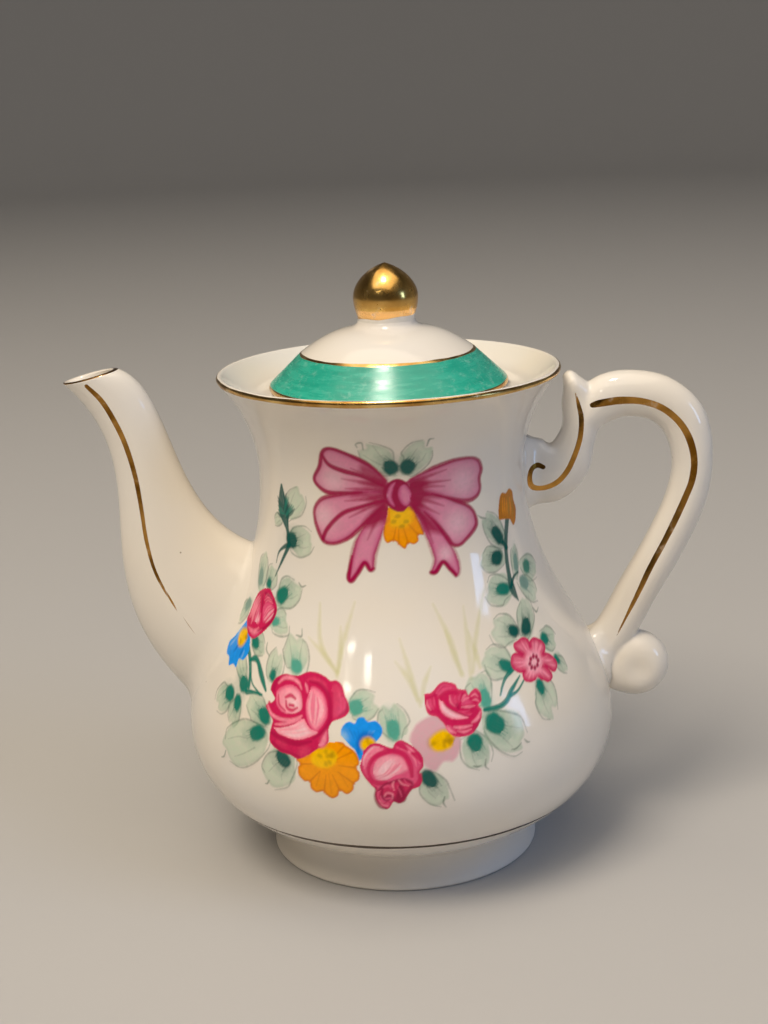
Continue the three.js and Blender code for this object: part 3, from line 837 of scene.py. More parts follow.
UPRIGHT = [
    (THUMB_SIDE + 0.5, THUMB_TOP, 1.5, 2.2),
    (THUMB_SIDE + 1.3, upright_at(0.08), 2.8, THUMB_DEPTH),
    (THUMB_SIDE + 2.5, upright_at(0.26), UPRIGHT_THICKNESS, THUMB_DEPTH),
    (THUMB_SIDE + 2.7, upright_at(0.52), UPRIGHT_THICKNESS, HANDLE_DEPTH),
    (THUMB_SIDE + 1.9, upright_at(0.71), 6, HANDLE_DEPTH),
    (THUMB_SIDE + 0.4, upright_at(0.9), 8.1, HANDLE_DEPTH),
    (NECK_RADIUS + 4.3, SCROLL_HEIGHT, SCROLL_THICKNESS, HANDLE_DEPTH),
    (NECK_RADIUS + 0.2, SCROLL_HEIGHT, SCROLL_THICKNESS, HANDLE_DEPTH),
    (NECK_RADIUS - ROOT_SINK, SCROLL_HEIGHT, SCROLL_THICKNESS, HANDLE_DEPTH),
]
ball_turn = np.linspace(-math.pi / 2, math.pi / 2, 33)
ball_points, ball_faces, _ = turned(np.stack([np.cos(ball_turn), np.sin(ball_turn)], -1), 48)
ball_points = ball_points * (BALL_RADIUS, BALL_DEPTH / 2, BALL_RADIUS) + (BALL_REACH, 0, BALL_HEIGHT)

handle_points = np.empty((0, 3))
handle_faces = []
for part_points, part_faces in (strap(LOOP), strap(UPRIGHT), (ball_points, ball_faces)):
    handle_faces += [[corner + len(handle_points) for corner in face] for face in part_faces]
    handle_points = np.vstack([handle_points, part_points])
handle = add_piece("handle_skin", handle_points, handle_faces, porcelain)

# %% Melt the handle together
HANDLE_GRID = 0.27
SHRINK = 0.14
FILLET_REACH, FILLET_SWELL, FILLET_TOP = 2.8, 1.9, 72
MELT_FACTOR, FIRST_MELT, LAST_MELT = 0.5, 12, 6


def melt(made, rounds):
    soften = made.modifiers.new("melt", "SMOOTH")
    soften.factor = MELT_FACTOR
    soften.iterations = rounds


grid = handle.modifiers.new("one skin", "REMESH")
grid.mode = "VOXEL"
grid.voxel_size = HANDLE_GRID * MM
melt(handle, FIRST_MELT)
settle(handle)
handle_places = places_of(handle)
handle_normals = np.empty(3 * len(handle_places), np.float32)
handle.data.vertices.foreach_get("normal", handle_normals)
handle_normals = handle_normals.reshape(-1, 3)
off_axis = np.hypot(handle_places[:, 0] - BALL_REACH, handle_places[:, 2] - BALL_HEIGHT)
hollow = DIMPLE_DEPTH * np.exp(-((off_axis / DIMPLE_WIDTH) ** 2))
gap = np.hypot(handle_places[:, 0], handle_places[:, 1]) - pot_radius(handle_places[:, 2])
near_pot = np.clip(1 - gap / FILLET_REACH, 0, 1) ** 2 * (handle_places[:, 2] < FILLET_TOP)
swell = SHRINK + FILLET_SWELL * near_pot * (0.3 + 0.7 * np.abs(handle_normals[:, 1]))
handle_places += swell[:, None] * handle_normals
handle_places[:, 1] -= np.sign(handle_places[:, 1]) * hollow
handle.data.vertices.foreach_set("co", (handle_places * MM).astype(np.float32).ravel())
melt(handle, LAST_MELT)
settle(handle)
handle_places = places_of(handle)
belongs(handle, "pot", "porcelain", "handle")
print("handle reaches", np.round(handle_places.max(axis=0), 1))

# %% Gold on the handle
FLANK_FROM = 1.2
LOOP_LINE = [
    (33, 75.9, 0.4), (34.4, 76.2, 0.6), (37.4, 76.5, 0.66), (40.7, 76.3, 0.58), (43.8, 75.3, 0.55),
    (46.2, 73.6, 0.55), (48, 71.4, 0.55), (49.2, 68.7, 0.55), (49.7, 65.8, 0.55), (49.4, 62.8, 0.52),
    (48.3, 59.7, 0.5), (46.7, 56, 0.48), (44.7, 51.9, 0.45), (42.5, 47.7, 0.42), (40.6, 43.6, 0.38),
    (36.9, 36, 0.06),
]
SCROLL_LINE = [
    (30.3, 78, 0.06), (30.8, 76, 0.3), (31.2, 73.7, 0.4), (31, 70.8, 0.42), (30.2, 68, 0.44),
    (28.9, 65.2, 0.46), (27.3, 63.3, 0.46), (25.5, 62.4, 0.45), (23.9, 62.3, 0.45), (22.8, 63, 0.45),
    (22.5, 64.4, 0.45), (22.9, 65.7, 0.42), (23.9, 66.2, 0.42), (24.9, 65.8, 0.36),
]
flat_places = handle_places[:, [0, 2]]
handle_gilt = np.maximum(inside_line(flat_places, LOOP_LINE), inside_line(flat_places, SCROLL_LINE))
on_flank = np.abs(handle_places[:, 1]) > FLANK_FROM
note(handle, "gilt", np.where(on_flank, handle_gilt, FAR_OUTSIDE))

# %% [markdown]
# ## Lid and knob
#
# The lid is turned too: a dome on a sloping band, with a flange underneath that drops into the throat.
# The band is painted with a teal enamel between two gold lines. The dome rises in a soft cove to a white
# neck, and the knob on it is gilded all over, down to a slanting, wavy edge. Lid and knob are one piece
# of clay, so the knob's skin starts a little below the top of the neck and no seam shows.

# %% The lid's outline
LID_RADIUS, LID_REST, LID_EDGE_HEIGHT = 19.6, 80, 0.7
BAND_RADIUS, BAND_TOP, DOME_TOP, BOSS_TOP = 14.2, 85.8, 90.1, 91
LID_WALL, FLANGE_OUTSIDE, FLANGE_INSIDE, FLANGE_END = 2, 17.4, 15.6, 75
KNOB_BASE_RADIUS, BOSS_EDGE = 4.65, 5.25
COVE_WIDTH, COVE_DROP, COVE_BEND = 1.2, 0.6, 0.25
DOME_FOOT_RUN, DOME_FOOT_RISE, DOME_HEAD_RUN, DOME_HEAD_RISE = 2.7, 1.9, 4, 1.2

neck_foot = (BOSS_EDGE + COVE_WIDTH, DOME_TOP - COVE_DROP)
lid_outline = np.vstack([
    cubic((0, DOME_TOP - LID_WALL), (BOSS_EDGE, DOME_TOP - LID_WALL),
          (BAND_RADIUS - LID_WALL, BAND_TOP - LID_WALL), (FLANGE_INSIDE, LID_REST)),
    [(FLANGE_INSIDE, FLANGE_END), (FLANGE_OUTSIDE, FLANGE_END), (FLANGE_OUTSIDE, LID_REST)],
    [(LID_RADIUS, LID_REST), (LID_RADIUS, LID_REST + LID_EDGE_HEIGHT)],
    cubic((BAND_RADIUS, BAND_TOP), (BAND_RADIUS - DOME_FOOT_RUN, BAND_TOP + DOME_FOOT_RISE),
          (BOSS_EDGE + DOME_HEAD_RUN, DOME_TOP - DOME_HEAD_RISE), neck_foot),
    quadratic(neck_foot, (KNOB_BASE_RADIUS, DOME_TOP - COVE_BEND), (KNOB_BASE_RADIUS, BOSS_TOP))[1:],
    [(0, BOSS_TOP)],
])
print("lid from", FLANGE_END, "to", BOSS_TOP, "mm")

# %% [markdown]
# The enamel of the band was brushed on while the lid turned, so its streaks run round the lid. The noise
# is therefore read in a space where the angle counts little and the height counts much. Where the enamel
# is thin, the white shows through.

# %% The band's enamel
DEEP_TEAL = paint_colour("20A08A")
BRIGHT_TEAL = paint_colour("34B49C")
THIN_TEAL = paint_colour("A6D8CA")
STREAKS_AROUND, STREAKS_UP = 2.0, 900.0

lid_glaze, tree, shader, glaze = new_material("enamelled_lid")
gold = place_gold(tree, *RIM_GOLD)
lid_place = own_place(tree)
parts = parts_of(tree, lid_place)
angle = combine(tree, "ARCTAN2", parts["Y"], parts["X"])
brush_space = node(tree, "ShaderNodeCombineXYZ")
tree.links.new(combine(tree, "MULTIPLY", angle, STREAKS_AROUND), brush_space.inputs["X"])
tree.links.new(combine(tree, "MULTIPLY", parts["Z"], STREAKS_UP), brush_space.inputs["Y"])
streaks = remap(tree, noise(tree, brush_space.outputs[0], 1.4, 4, 0.6), 0.35, 0.65, 0, 1)
enamel = blend(tree, streaks, DEEP_TEAL, BRIGHT_TEAL)
worn = remap(tree, noise(tree, lid_place, 70, 1), 0.42, 0.62, 0.2, 1)
scuffs = remap(tree, noise(tree, lid_place, 900, 6, 0.8), 0.52, 0.72, 0, 0.6)
scuffs = combine(tree, "MULTIPLY", scuffs, worn)
enamel = blend(tree, scuffs, enamel, THIN_TEAL)
in_band = node(tree, "ShaderNodeAttribute", attribute_name="band").outputs["Fac"]
band_mask = remap(tree, in_band, -0.04, 0.04, 0, 1, True)
lid_colour = blend(tree, band_mask, glaze.outputs["Color"], enamel)
lid_gloss = blend_value(tree, band_mask, glaze.outputs["Roughness"], remap(tree, streaks, 0, 1, 0.2, 0.32))
gild(tree, shader, lid_colour, lid_gloss, gold)

# %% The lid
LID_SEGMENTS = 200
BAND_START, BAND_MARGIN = LID_REST + 0.6, 0.5
UPPER_LINE = ((BAND_RADIUS, BAND_TOP), 0.26)
EDGE_LINE = ((LID_RADIUS - 0.1, LID_REST + 0.55), 0.4)

lid_rows, lid_gilt = picked_rows(melted(lid_outline), [UPPER_LINE, EDGE_LINE])
lid_points, lid_faces, lid_row_of = turned(lid_rows, LID_SEGMENTS)
lid = add_piece("lid_skin", lid_points, lid_faces, lid_glaze)
note(lid, "gilt", hand_drawn(lid_points, lid_gilt[lid_row_of], 0.05))
band_inside = np.minimum(lid_points[:, 2] - BAND_START, BAND_TOP - lid_points[:, 2])
outer_side = np.hypot(lid_points[:, 0], lid_points[:, 1]) > BAND_RADIUS - BAND_MARGIN
note(lid, "band", np.where(outer_side, band_inside, FAR_OUTSIDE))
belongs(lid, "lid", "lid_porcelain", "lid")

# %% The knob
KNOB_SEGMENTS = 120
KNOB_RADIUS, KNOB_BELLY, KNOB_TIP_HEIGHT = 5.3, 94.4, 100
KNOB_LOW_BEND, KNOB_HIGH_BEND, KNOB_TIP_BEND = 92.9, 97, 99.2
KNOB_SINK, KNOB_COVER = 0.5, 0.02
GOLD_EDGE = 91.5

base = KNOB_BASE_RADIUS + KNOB_COVER
knob_outline = np.vstack([
    [(0, BOSS_TOP - KNOB_SINK), (base, BOSS_TOP - KNOB_SINK)],
    quadratic((base, BOSS_TOP + KNOB_SINK), (KNOB_RADIUS, KNOB_LOW_BEND), (KNOB_RADIUS, KNOB_BELLY)),
    cubic((KNOB_RADIUS, KNOB_BELLY), (KNOB_RADIUS, KNOB_HIGH_BEND), (KNOB_RADIUS / 2, KNOB_TIP_BEND),
          (0, KNOB_TIP_HEIGHT))[1:],
])
knob_rows, _ = picked_rows(melted(knob_outline))
knob_points, knob_faces, _ = turned(knob_rows, KNOB_SEGMENTS)
knob = add_piece("gilded_knob", knob_points, knob_faces, knob_gold)
knob_angle = np.arctan2(knob_points[:, 1], knob_points[:, 0])
wavy_edge = GOLD_EDGE + 0.28 * np.cos(knob_angle) + 0.1 * np.sin(5 * knob_angle + 1)
note(knob, "gilt", knob_points[:, 2] - wavy_edge)
belongs(knob, "lid", "gilding", "lid_knob")

# %% [markdown]
# ## Painted garland
#
# The front of the pot carries an ornament that tea ware has had for two centuries: a ribbon bow over a
# garland of roses and small flowers. A decorator paints it freehand in enamel colours on the fired glaze,
# pale washes first and dark accents last. Here it is painted in the same order on a canvas, a fine grid
# of cells that is later wrapped onto the pot. On the canvas, u runs round the pot in millimetres from the
# middle of the front, positive towards the handle, and z is the height. A brush mark is a smooth path
# with a width, streaked by the hairs of the brush. A petal is a closed outline whose colour changes from
# its rim to its middle. The colours are kept multiplied by their cover, so that an edge fades into the
# glaze without a dark fringe.

# %% Canvas and brushes
CELL = 0.145
GRAIN = 0.2
HAIRS = 9
CANVAS_LEFT, CANVAS_RIGHT, CANVAS_LOW, CANVAS_HIGH = -37, 33, 20, 76.6
u_axis = np.arange(CANVAS_LEFT, CANVAS_RIGHT, CELL)
z_axis = np.arange(CANVAS_LOW, CANVAS_HIGH, CELL)
canvas = np.zeros((len(z_axis), len(u_axis), 4))
chance = np.random.default_rng(11)


def soft_patches(size):
    """Random values from 0 to 1 over the canvas, in soft patches of about a size in mm."""
    coarse = chance.random((int(len(z_axis) * CELL / size) + 2, int(len(u_axis) * CELL / size) + 2))
    rows = np.linspace(0, coarse.shape[0] - 1, len(z_axis))
    columns = np.linspace(0, coarse.shape[1] - 1, len(u_axis))
    tall = np.array([np.interp(rows, np.arange(coarse.shape[0]), column) for column in coarse.T]).T
    return np.array([np.interp(columns, np.arange(coarse.shape[1]), row) for row in tall])


grain = 0.6 * soft_patches(0.3) + 0.4 * soft_patches(1)


def window(points, margin):
    """The part of the canvas around some points: its rows, its columns and the places of its cells."""
    low, high = points.min(axis=0) - margin, points.max(axis=0) + margin
    columns = slice(*np.searchsorted(u_axis, (low[0], high[0])))
    rows = slice(*np.searchsorted(z_axis, (low[1], high[1])))
    u, z = np.meshgrid(u_axis[columns], z_axis[rows])
    return rows, columns, u[..., None], z[..., None]


def lay(rows, columns, cover, colour):
    """Lays a colour over what is on the canvas already.
    Thin paint covers unevenly, thick paint varies in tone."""
    uneven = grain[rows, columns] - 0.5
    cover = np.clip(cover * (1 + uneven * (1 - cover)), 0, 1)[..., None]
    tone = (1 + GRAIN * uneven)[..., None] * (1, 1, 1, 0) + np.array((0, 0, 0, 1))
    canvas[rows, columns] = canvas[rows, columns] * (1 - cover) + cover * colour * tone


def stroke(points, widths, colour, strength=1.0, soft=0.22, streak=0.15):
    """One pull of the brush along points of (u, z). widths are spread over its length."""
    points = np.array(points, float)
    spread = np.interp(np.linspace(0, 1, len(points)), np.linspace(0, 1, len(widths)), widths)
    path = evenly(smooth_path(np.column_stack([points, spread]), 10), 0.7 * CELL)
    rows, columns, u, z = window(path[:, :2], max(widths) / 2 + soft)
    away_u, away_z = u - path[:, 0], z - path[:, 1]
    inside = path[:, 2] / 2 - np.hypot(away_u, away_z)
    nearest = inside.argmax(axis=-1)[..., None]
    way = np.gradient(path[:, :2], axis=0)
    way /= np.linalg.norm(way, axis=1)[:, None]
    turn_u, turn_z = way[nearest[..., 0], 0], way[nearest[..., 0], 1]
    off_u = np.take_along_axis(away_u, nearest, -1)[..., 0]
    off_z = np.take_along_axis(away_z, nearest, -1)[..., 0]
    side = (off_u * turn_z - off_z * turn_u) / np.maximum(path[nearest[..., 0], 2], CELL)
    hairs = np.interp(side, np.linspace(-0.5, 0.5, HAIRS), chance.random(HAIRS))
    edge = np.clip(inside.max(axis=-1) / soft + 0.5, 0, 1)
    lay(rows, columns, strength * edge * (1 - streak * hairs), colour)


def hatch(first, last, count, colours, width, strength=0.7):
    """Fine pulls side by side, in colours by chance.
    The first and the last are given and the others lie between."""
    first, last = np.array(first, float), np.array(last, float)
    for share in np.linspace(0, 1, count):
        path = first + share * (last - first)
        path[0] += 0.4 * chance.random() * (path[1] - path[0])
        path[-1] -= 0.4 * chance.random() * (path[-1] - path[-2])
        stroke(path, (0.4 * width, width, 0.3 * width), colours[chance.integers(len(colours))], strength)


def fill(points, body, rim, rim_width=0.8, strength=1.0, soft=0.22, light=None):
    """A closed outline, rim coloured at its edge and body coloured inside.
    light is (u, z, reach, colour), a soft patch of another colour."""
    points = [tuple(point) for point in points]
    edge = smooth_path(points[-2:] + points + points[:2], 10)[20:-20]
    after = np.roll(edge, -1, axis=0)
    rows, columns, u, z = window(edge, soft)
    crosses = (edge[:, 1] > z) != (after[:, 1] > z)
    rise = np.where(after[:, 1] == edge[:, 1], 1, after[:, 1] - edge[:, 1])
    crossing = edge[:, 0] + (z - edge[:, 1]) * (after[:, 0] - edge[:, 0]) / rise
    within = (crosses & (u < crossing)).sum(axis=-1) % 2 == 1
    away = np.hypot(u - edge[:, 0], z - edge[:, 1]).min(axis=-1)
    depth = np.where(within, away, -away)
    share = np.clip(depth / rim_width, 0, 1)[..., None]
    colour = rim + (body - rim) * share * share * (3 - 2 * share)
    if light:
        light_u, light_z, reach, tint = light
        near = np.exp(-((u - light_u) ** 2 + (z - light_z) ** 2) / reach**2)
        colour = colour + (tint - colour) * near
    lay(rows, columns, strength * np.clip(depth / soft + 0.5, 0, 1), colour)


def dab(centre, long, wide, lean, colour, strength=1.0, soft=0.3):
    """A ragged oval touch of the brush, lean radians from level."""
    around = np.linspace(0, 2 * math.pi, 9, endpoint=False)
    ragged = 1 + 0.16 * (chance.random(len(around)) - 0.5)
    along, across = long * np.cos(around) * ragged, wide * np.sin(around) * ragged
    u = centre[0] + along * math.cos(lean) - across * math.sin(lean)
    z = centre[1] + along * math.sin(lean) + across * math.cos(lean)
    fill(list(zip(u, z)), colour, colour, 1, strength, soft)


def enamels(*codes):
    """Paint colours that can be reckoned with."""
    return [np.array(paint_colour(code)) for code in codes]


print("canvas of", canvas.shape[1], "by", canvas.shape[0], "cells")

# %% [markdown]
# ### Leaves, stems and grass
#
# A leaf takes four moves: a pale wash with a lobed end, a thin grey outline down each side, a vein or
# two, and a dark touch near the stem that is dragged a little towards the tip. Stems are single pulls of
# teal. Behind it all stand a few strokes of grass, so thin that they nearly vanish.

# %% Leaves
TEAL_DARK, TEAL, TEAL_PALE, GREY_TEAL = enamels("005650", "107C6C", "55AA98", "7C9F95")
WASH, WASH_EDGE, LEAF_LINE, GRASS = enamels("AFCFB0", "93B698", "5C7263", "CBC98A")
LEAF_SHAPE = [
    (0, 0), (0.16, 0.6), (0.45, 0.98), (0.75, 0.92), (0.97, 0.45), (0.94, 0), (1, -0.4), (0.78, -0.92),
    (0.45, -1), (0.16, -0.62),
]
LEAF_SIDES = [[(0.06, 0.3), (0.18, 0.63), (0.45, 0.98), (0.75, 0.92), (0.95, 0.5)],
              [(0.06, -0.3), (0.18, -0.63), (0.45, -1), (0.78, -0.92), (0.97, -0.5)]]
LEAF_VEINS = [[(0.4, 0.25), (0.62, 0.38), (0.8, 0.42)], [(0.4, -0.25), (0.62, -0.4), (0.82, -0.45)]]


def leaf(base, tip, width, spot, long, wide, colour):
    """A leaf from base to tip. spot is the middle of its dark touch, which is left out if long is 0."""
    base, way = np.array(base, float), np.array(tip, float) - base
    side = np.array((-way[1], way[0])) / np.linalg.norm(way) * width / 2

    def placed(shape, wobble=0.05):
        drift = wobble * chance.standard_normal((len(shape), 2))
        return [base + along * way + across * side for along, across in np.array(shape) + drift]

    fill(placed(LEAF_SHAPE), WASH, WASH_EDGE, 0.8, 0.5, 0.45)
    for line in LEAF_SIDES:
        stroke(placed(1.04 * np.array(line)), (0.1, 0.26, 0.12), LEAF_LINE, 0.62)
    for line in LEAF_VEINS:
        stroke(placed(line), (0.2, 0.06), LEAF_LINE, 0.4)
    if long:
        along, across = way / np.linalg.norm(way), side / np.linalg.norm(side)
        dab(spot + 0.4 * long * along, 1.7 * long, 1.5 * wide, math.atan2(way[1], way[0]), colour, 0.28, 1.6)
        dab(spot, long, wide, math.atan2(way[1], way[0]), colour, 0.95, 0.5)
        for offset in np.linspace(-0.75, 0.75, 6):
            start = np.array(spot) + offset * wide * across - 0.5 * long * along
            reach = (1.3 + 0.7 * chance.random()) * long * along
            stroke([start, start + reach], (0.45, 0.4, 0.1), colour, 0.6)


BOW_LEAVES = [
    ((0.5, 70.4), (-4.2, 75), 4.4, (-0.2, 71.5), 1.3, 1.2, TEAL_DARK),
    ((1.5, 70.4), (5.6, 75), 4.4, (2.4, 71.5), 1.3, 1.2, TEAL_DARK),
]
LEFT_LEAVES = [
    ((-19.4, 61.8), (-15.8, 66.6), 4.2, (0, 0), 0, 0, TEAL),
    ((-20.3, 62), (-22.8, 60.6), 2, (0, 0), 0, 0, TEAL),
    ((-19.2, 57.9), (-13.9, 59.3), 4.6, (-18.2, 58.6), 1.3, 1.3, TEAL_DARK),
    ((-26.6, 49.4), (-26.2, 54.8), 3.2, (-26.9, 51.3), 1.4, 0.8, GREY_TEAL),
    ((-24.2, 50), (-22.7, 53.6), 3, (-24, 51), 0.8, 0.7, TEAL),
    ((-21.6, 48.6), (-16.7, 52.2), 4.2, (-20.3, 50), 1.7, 1.1, TEAL),
    ((-23, 45.4), (-18.6, 46.8), 3.6, (-21.7, 46.1), 1, 0.6, TEAL_PALE),
    ((-29.2, 47.4), (-33, 44.2), 2.2, (-30.3, 46.7), 1.3, 0.7, GREY_TEAL),
    ((-27.2, 42.9), (-23.8, 42), 3.2, (-26.3, 42.5), 1.1, 0.9, TEAL),
    ((-22.3, 38.1), (-20.4, 42.2), 3.2, (-21.6, 39), 0.9, 0.6, TEAL),
    ((-17, 39.6), (-17.2, 45), 5, (-16.9, 40.9), 1, 1.1, TEAL_PALE),
    ((-28.2, 37), (-30.2, 40), 2.8, (-28.2, 36.6), 1.1, 1.3, TEAL),
    ((-31, 35), (-35.8, 32), 3.6, (-31.9, 34.5), 1.4, 1.1, TEAL),
    ((-29.2, 34.6), (-31, 30.4), 3, (-29.5, 33.8), 1.3, 0.9, TEAL),
    ((-22, 32.6), (-27, 35), 4, (-23.1, 33.3), 1.3, 1.2, TEAL),
    ((-21.9, 30.9), (-32.6, 25.8), 6.4, (-24.5, 30.6), 1.9, 1.1, TEAL),
    ((-17.8, 28.9), (-22.3, 23.4), 5.4, (-19.5, 27.7), 1.2, 1.5, TEAL_DARK),
]
MIDDLE_LEAVES = [
    ((-8.2, 35.8), (-3.6, 37.2), 4, (-6.9, 36.3), 1.2, 1.1, TEAL_PALE),
    ((-0.7, 31.6), (-1.7, 36.8), 4.4, (-1.3, 33.3), 1.5, 1, TEAL_PALE),
    ((2.6, 27), (6.2, 21.8), 4.2, (3.9, 25.8), 1.6, 1.1, TEAL_DARK),
]
RIGHT_LEAVES = [
    ((10, 31.9), (12.8, 26.6), 4.6, (11.3, 30.4), 1.4, 1.2, TEAL),
    ((12.8, 33.8), (20, 28.8), 5.6, (14.8, 32.5), 1.9, 1.4, TEAL),
    ((13.6, 35), (11.8, 39.6), 4.2, (13.4, 36.2), 1.5, 0.9, TEAL_PALE),
    ((18.8, 39), (13.6, 41.6), 4.2, (17.6, 39.8), 1.5, 0.8, TEAL),
    ((20.5, 43.4), (15.6, 45.4), 4.2, (19.8, 44), 1.2, 0.8, TEAL_DARK),
    ((22.3, 42.4), (23.4, 47.6), 4.2, (22.7, 44), 1.3, 1.2, TEAL_DARK),
    ((25.8, 42.1), (29.8, 40.4), 3, (26.8, 41.4), 1.1, 0.75, TEAL),
    ((28.3, 38.8), (31.4, 36.2), 1.9, (29.1, 38.1), 0.9, 0.45, TEAL),
    ((23.4, 36.9), (26.6, 31.4), 4.6, (24.1, 35.7), 1.2, 0.8, TEAL),
    ((20.1, 56), (15.6, 61.4), 3.6, (18.3, 58.1), 2, 0.95, TEAL_DARK),
    ((19.6, 54.2), (14.3, 55.2), 3.8, (17.7, 54.8), 1.3, 1.1, TEAL_DARK),
    ((20.4, 49.6), (15, 50.6), 4.4, (18.5, 50.1), 1.7, 0.9, TEAL),
    ((21.9, 50.6), (22.2, 56), 2, (22.3, 53), 1.4, 0.55, GREY_TEAL),
    ((23.2, 52.6), (28.8, 50.4), 3.8, (25.4, 51.8), 1.2, 1, TEAL),
    ((22.4, 50.6), (27.2, 47.2), 3, (23.9, 49.8), 1.3, 0.9, GREY_TEAL),
]
CURLS = [
    [(-4.3, 74.6), (-4.5, 75.7), (-5.4, 75.5), (-5.2, 74.9)], [(5.5, 74.8), (5.9, 75.8), (6.6, 75.9)],
    [(-16.6, 52.4), (-16, 51.9), (-15.2, 52.2)], [(-17, 45), (-16, 45), (-15.9, 46)],
    [(-32.4, 25.9), (-33, 24.8), (-33.8, 24.4)], [(-22.4, 23.6), (-22.8, 23), (-23.2, 22.9)],
    [(6.2, 22.6), (6, 21.6), (6.4, 20.8)], [(13, 27.6), (12.9, 26.6), (13.4, 26)],
    [(20, 29.2), (20.5, 28.7), (21, 28.6)], [(15.7, 61.3), (14.8, 61.6), (14.1, 62.1)],
    [(25.2, 45.9), (26, 45.2), (26.8, 45.6)], [(-22.6, 41.4), (-23.3, 42), (-23.2, 43)],
    [(11, 26.9), (11.6, 26.7), (12.2, 26.8)], [(17.6, 28.2), (18.4, 28.2), (19.4, 28.8)],
]

GRASS_BLADES = [
    [(-12.5, 50), (-12.5, 44.6), (-9.8, 40.6)], [(-14.6, 45), (-12, 43), (-9.9, 41)],
    [(-9, 47), (-9.2, 43.6), (-9.8, 40.2)], [(0.2, 45.4), (1.6, 40.8), (3, 36.4)],
    [(7.4, 46), (8.6, 42.6), (9.9, 39.8)], [(10.6, 49), (11, 44), (11.2, 39.2)],
    [(11.2, 45.4), (12.2, 42.6), (12.9, 40.4)], [(-6.6, 50.6), (-8.6, 45), (-9.6, 41)],
    [(5.6, 50), (8.2, 44.6), (9.6, 40)], [(14.4, 50.6), (12.6, 45), (11.6, 40)],
    [(-0.6, 42.4), (1.2, 40.2), (2.6, 37.2)], [(4.8, 41.4), (3.8, 39.4), (3.2, 37)],
]
for blade in GRASS_BLADES:
    stroke(blade, (0.2, 0.8, 0.5), GRASS, 0.42, 0.5)
for plan in (*BOW_LEAVES, *LEFT_LEAVES, *MIDDLE_LEAVES, *RIGHT_LEAVES):
    leaf(*plan)
for curl in CURLS:
    stroke(curl, (0.2, 0.28, 0.12), LEAF_LINE, 0.75)
print("leaves cover", round(100 * (canvas[..., 3] > 0.05).mean()), "% of the canvas")

# %% Stems
STEMS = [
    ([(-20.4, 67), (-20.4, 65), (-20.1, 63), (-19.7, 61.4), (-19.2, 60), (-19, 58.4)],
     (0.5, 1.8, 2.8, 1.6, 0.8, 0.9), TEAL_DARK),
    ([(-18.8, 57.8), (-20.4, 57), (-21.6, 56), (-22.2, 54.4)], (0.9, 0.4, 0.15), TEAL_DARK),
    ([(-18.8, 57.8), (-19.8, 56.2), (-21, 54.4), (-22.3, 52.4)], (0.9, 0.55, 0.2), TEAL_DARK),
    ([(-28, 41.4), (-27.2, 40), (-26.8, 38.2), (-26.9, 36.4)], (0.9, 0.8, 0.55), TEAL),
    ([(-27.1, 40), (-25.9, 40.4), (-25, 40), (-24, 38.4), (-23, 36.8)], (0.5, 0.9, 0.9, 1.1, 0.5), TEAL),
    ([(-26.8, 38.2), (-26, 37), (-24.2, 36)], (0.4, 0.3, 0.45), TEAL),
    ([(-27.4, 35.7), (-25.6, 36), (-23.8, 36)], (0.8, 0.5, 0.4), TEAL),
    ([(13.2, 34.7), (15.6, 34.7), (17.2, 35.3), (18.1, 36.4), (20, 38)], (0.6, 0.8, 0.9, 0.8, 0.3), TEAL),
    ([(16.1, 36.2), (16.6, 37.4), (17.4, 38.4), (18.8, 39.2)], (0.3, 0.45, 0.6, 0.8), TEAL),
    ([(18, 35.8), (19.4, 36.2), (20.8, 37.3)], (0.6, 0.4, 0.3), TEAL),
    ([(21.1, 60.4), (20.3, 57.4), (20, 54.7), (20.2, 51.5), (20.7, 49.5), (21.8, 47.7)],
     (1.2, 1, 0.9, 1, 1.3, 0.15), TEAL_DARK),
    ([(20.4, 50), (21.3, 51.2), (22.6, 51.6)], (0.7, 0.5, 0.3), TEAL_DARK),
    ([(19.4, 56.8), (20.2, 55.8)], (0.7, 0.8), TEAL_DARK),
]
for path, widths, colour in STEMS:
    stroke(path, widths, colour)
hatch([(-20.2, 62.8), (-19.6, 64.4), (-19.2, 66)], [(-19.6, 61.8), (-18.2, 62.8), (-17.2, 63.8)], 8,
      (TEAL_DARK, TEAL), 0.6, 0.85)
hatch([(-20.2, 63.6), (-21.2, 64.2), (-21.8, 65)], [(-19.8, 62), (-21, 61.9), (-22, 62.2)], 5,
      (TEAL_DARK, TEAL), 0.6, 0.85)
print(len(STEMS), "stems")

# %% [markdown]
# ### Small flowers
#
# The daisies are scalloped orange patches with browner lines between their petals, round a yellow middle
# with ochre dots. The blue flowers are scalloped patches too, deeper near the yellow eye. A mauve flower
# is only a soft stain behind its eye. On the right is a pink flower, its petals dark at the rim and pale
# inside.

# %% Daisies and blue flowers
ORANGE, BURNT_ORANGE, YELLOW, OCHRE, BUD_BROWN = enamels("FFA200", "DE7C00", "FFC800", "B88A0C", "C47600")
BLUE, DEEP_BLUE, PALE_BLUE, MAUVE = enamels("1C9AFF", "0E62CC", "8CC4FA", "DC99AE")


def yellow_eye(centre, long, wide, lean, dots, rim=0.6):
    """A flower's yellow middle, with an ochre rim and ochre dots by chance."""
    dab(centre, long, wide, lean, OCHRE, rim, 0.6)
    dab(centre, 0.92 * long, 0.9 * wide, lean, YELLOW, 1, 0.6)
    for _ in range(dots):
        turn, reach = 2 * math.pi * chance.random(), 0.75 * math.sqrt(chance.random())
        spot = (centre[0] + reach * long * math.cos(turn), centre[1] + reach * wide * math.sin(turn))
        dab(spot, 0.42, 0.3, turn, OCHRE, 0.55, 0.4)


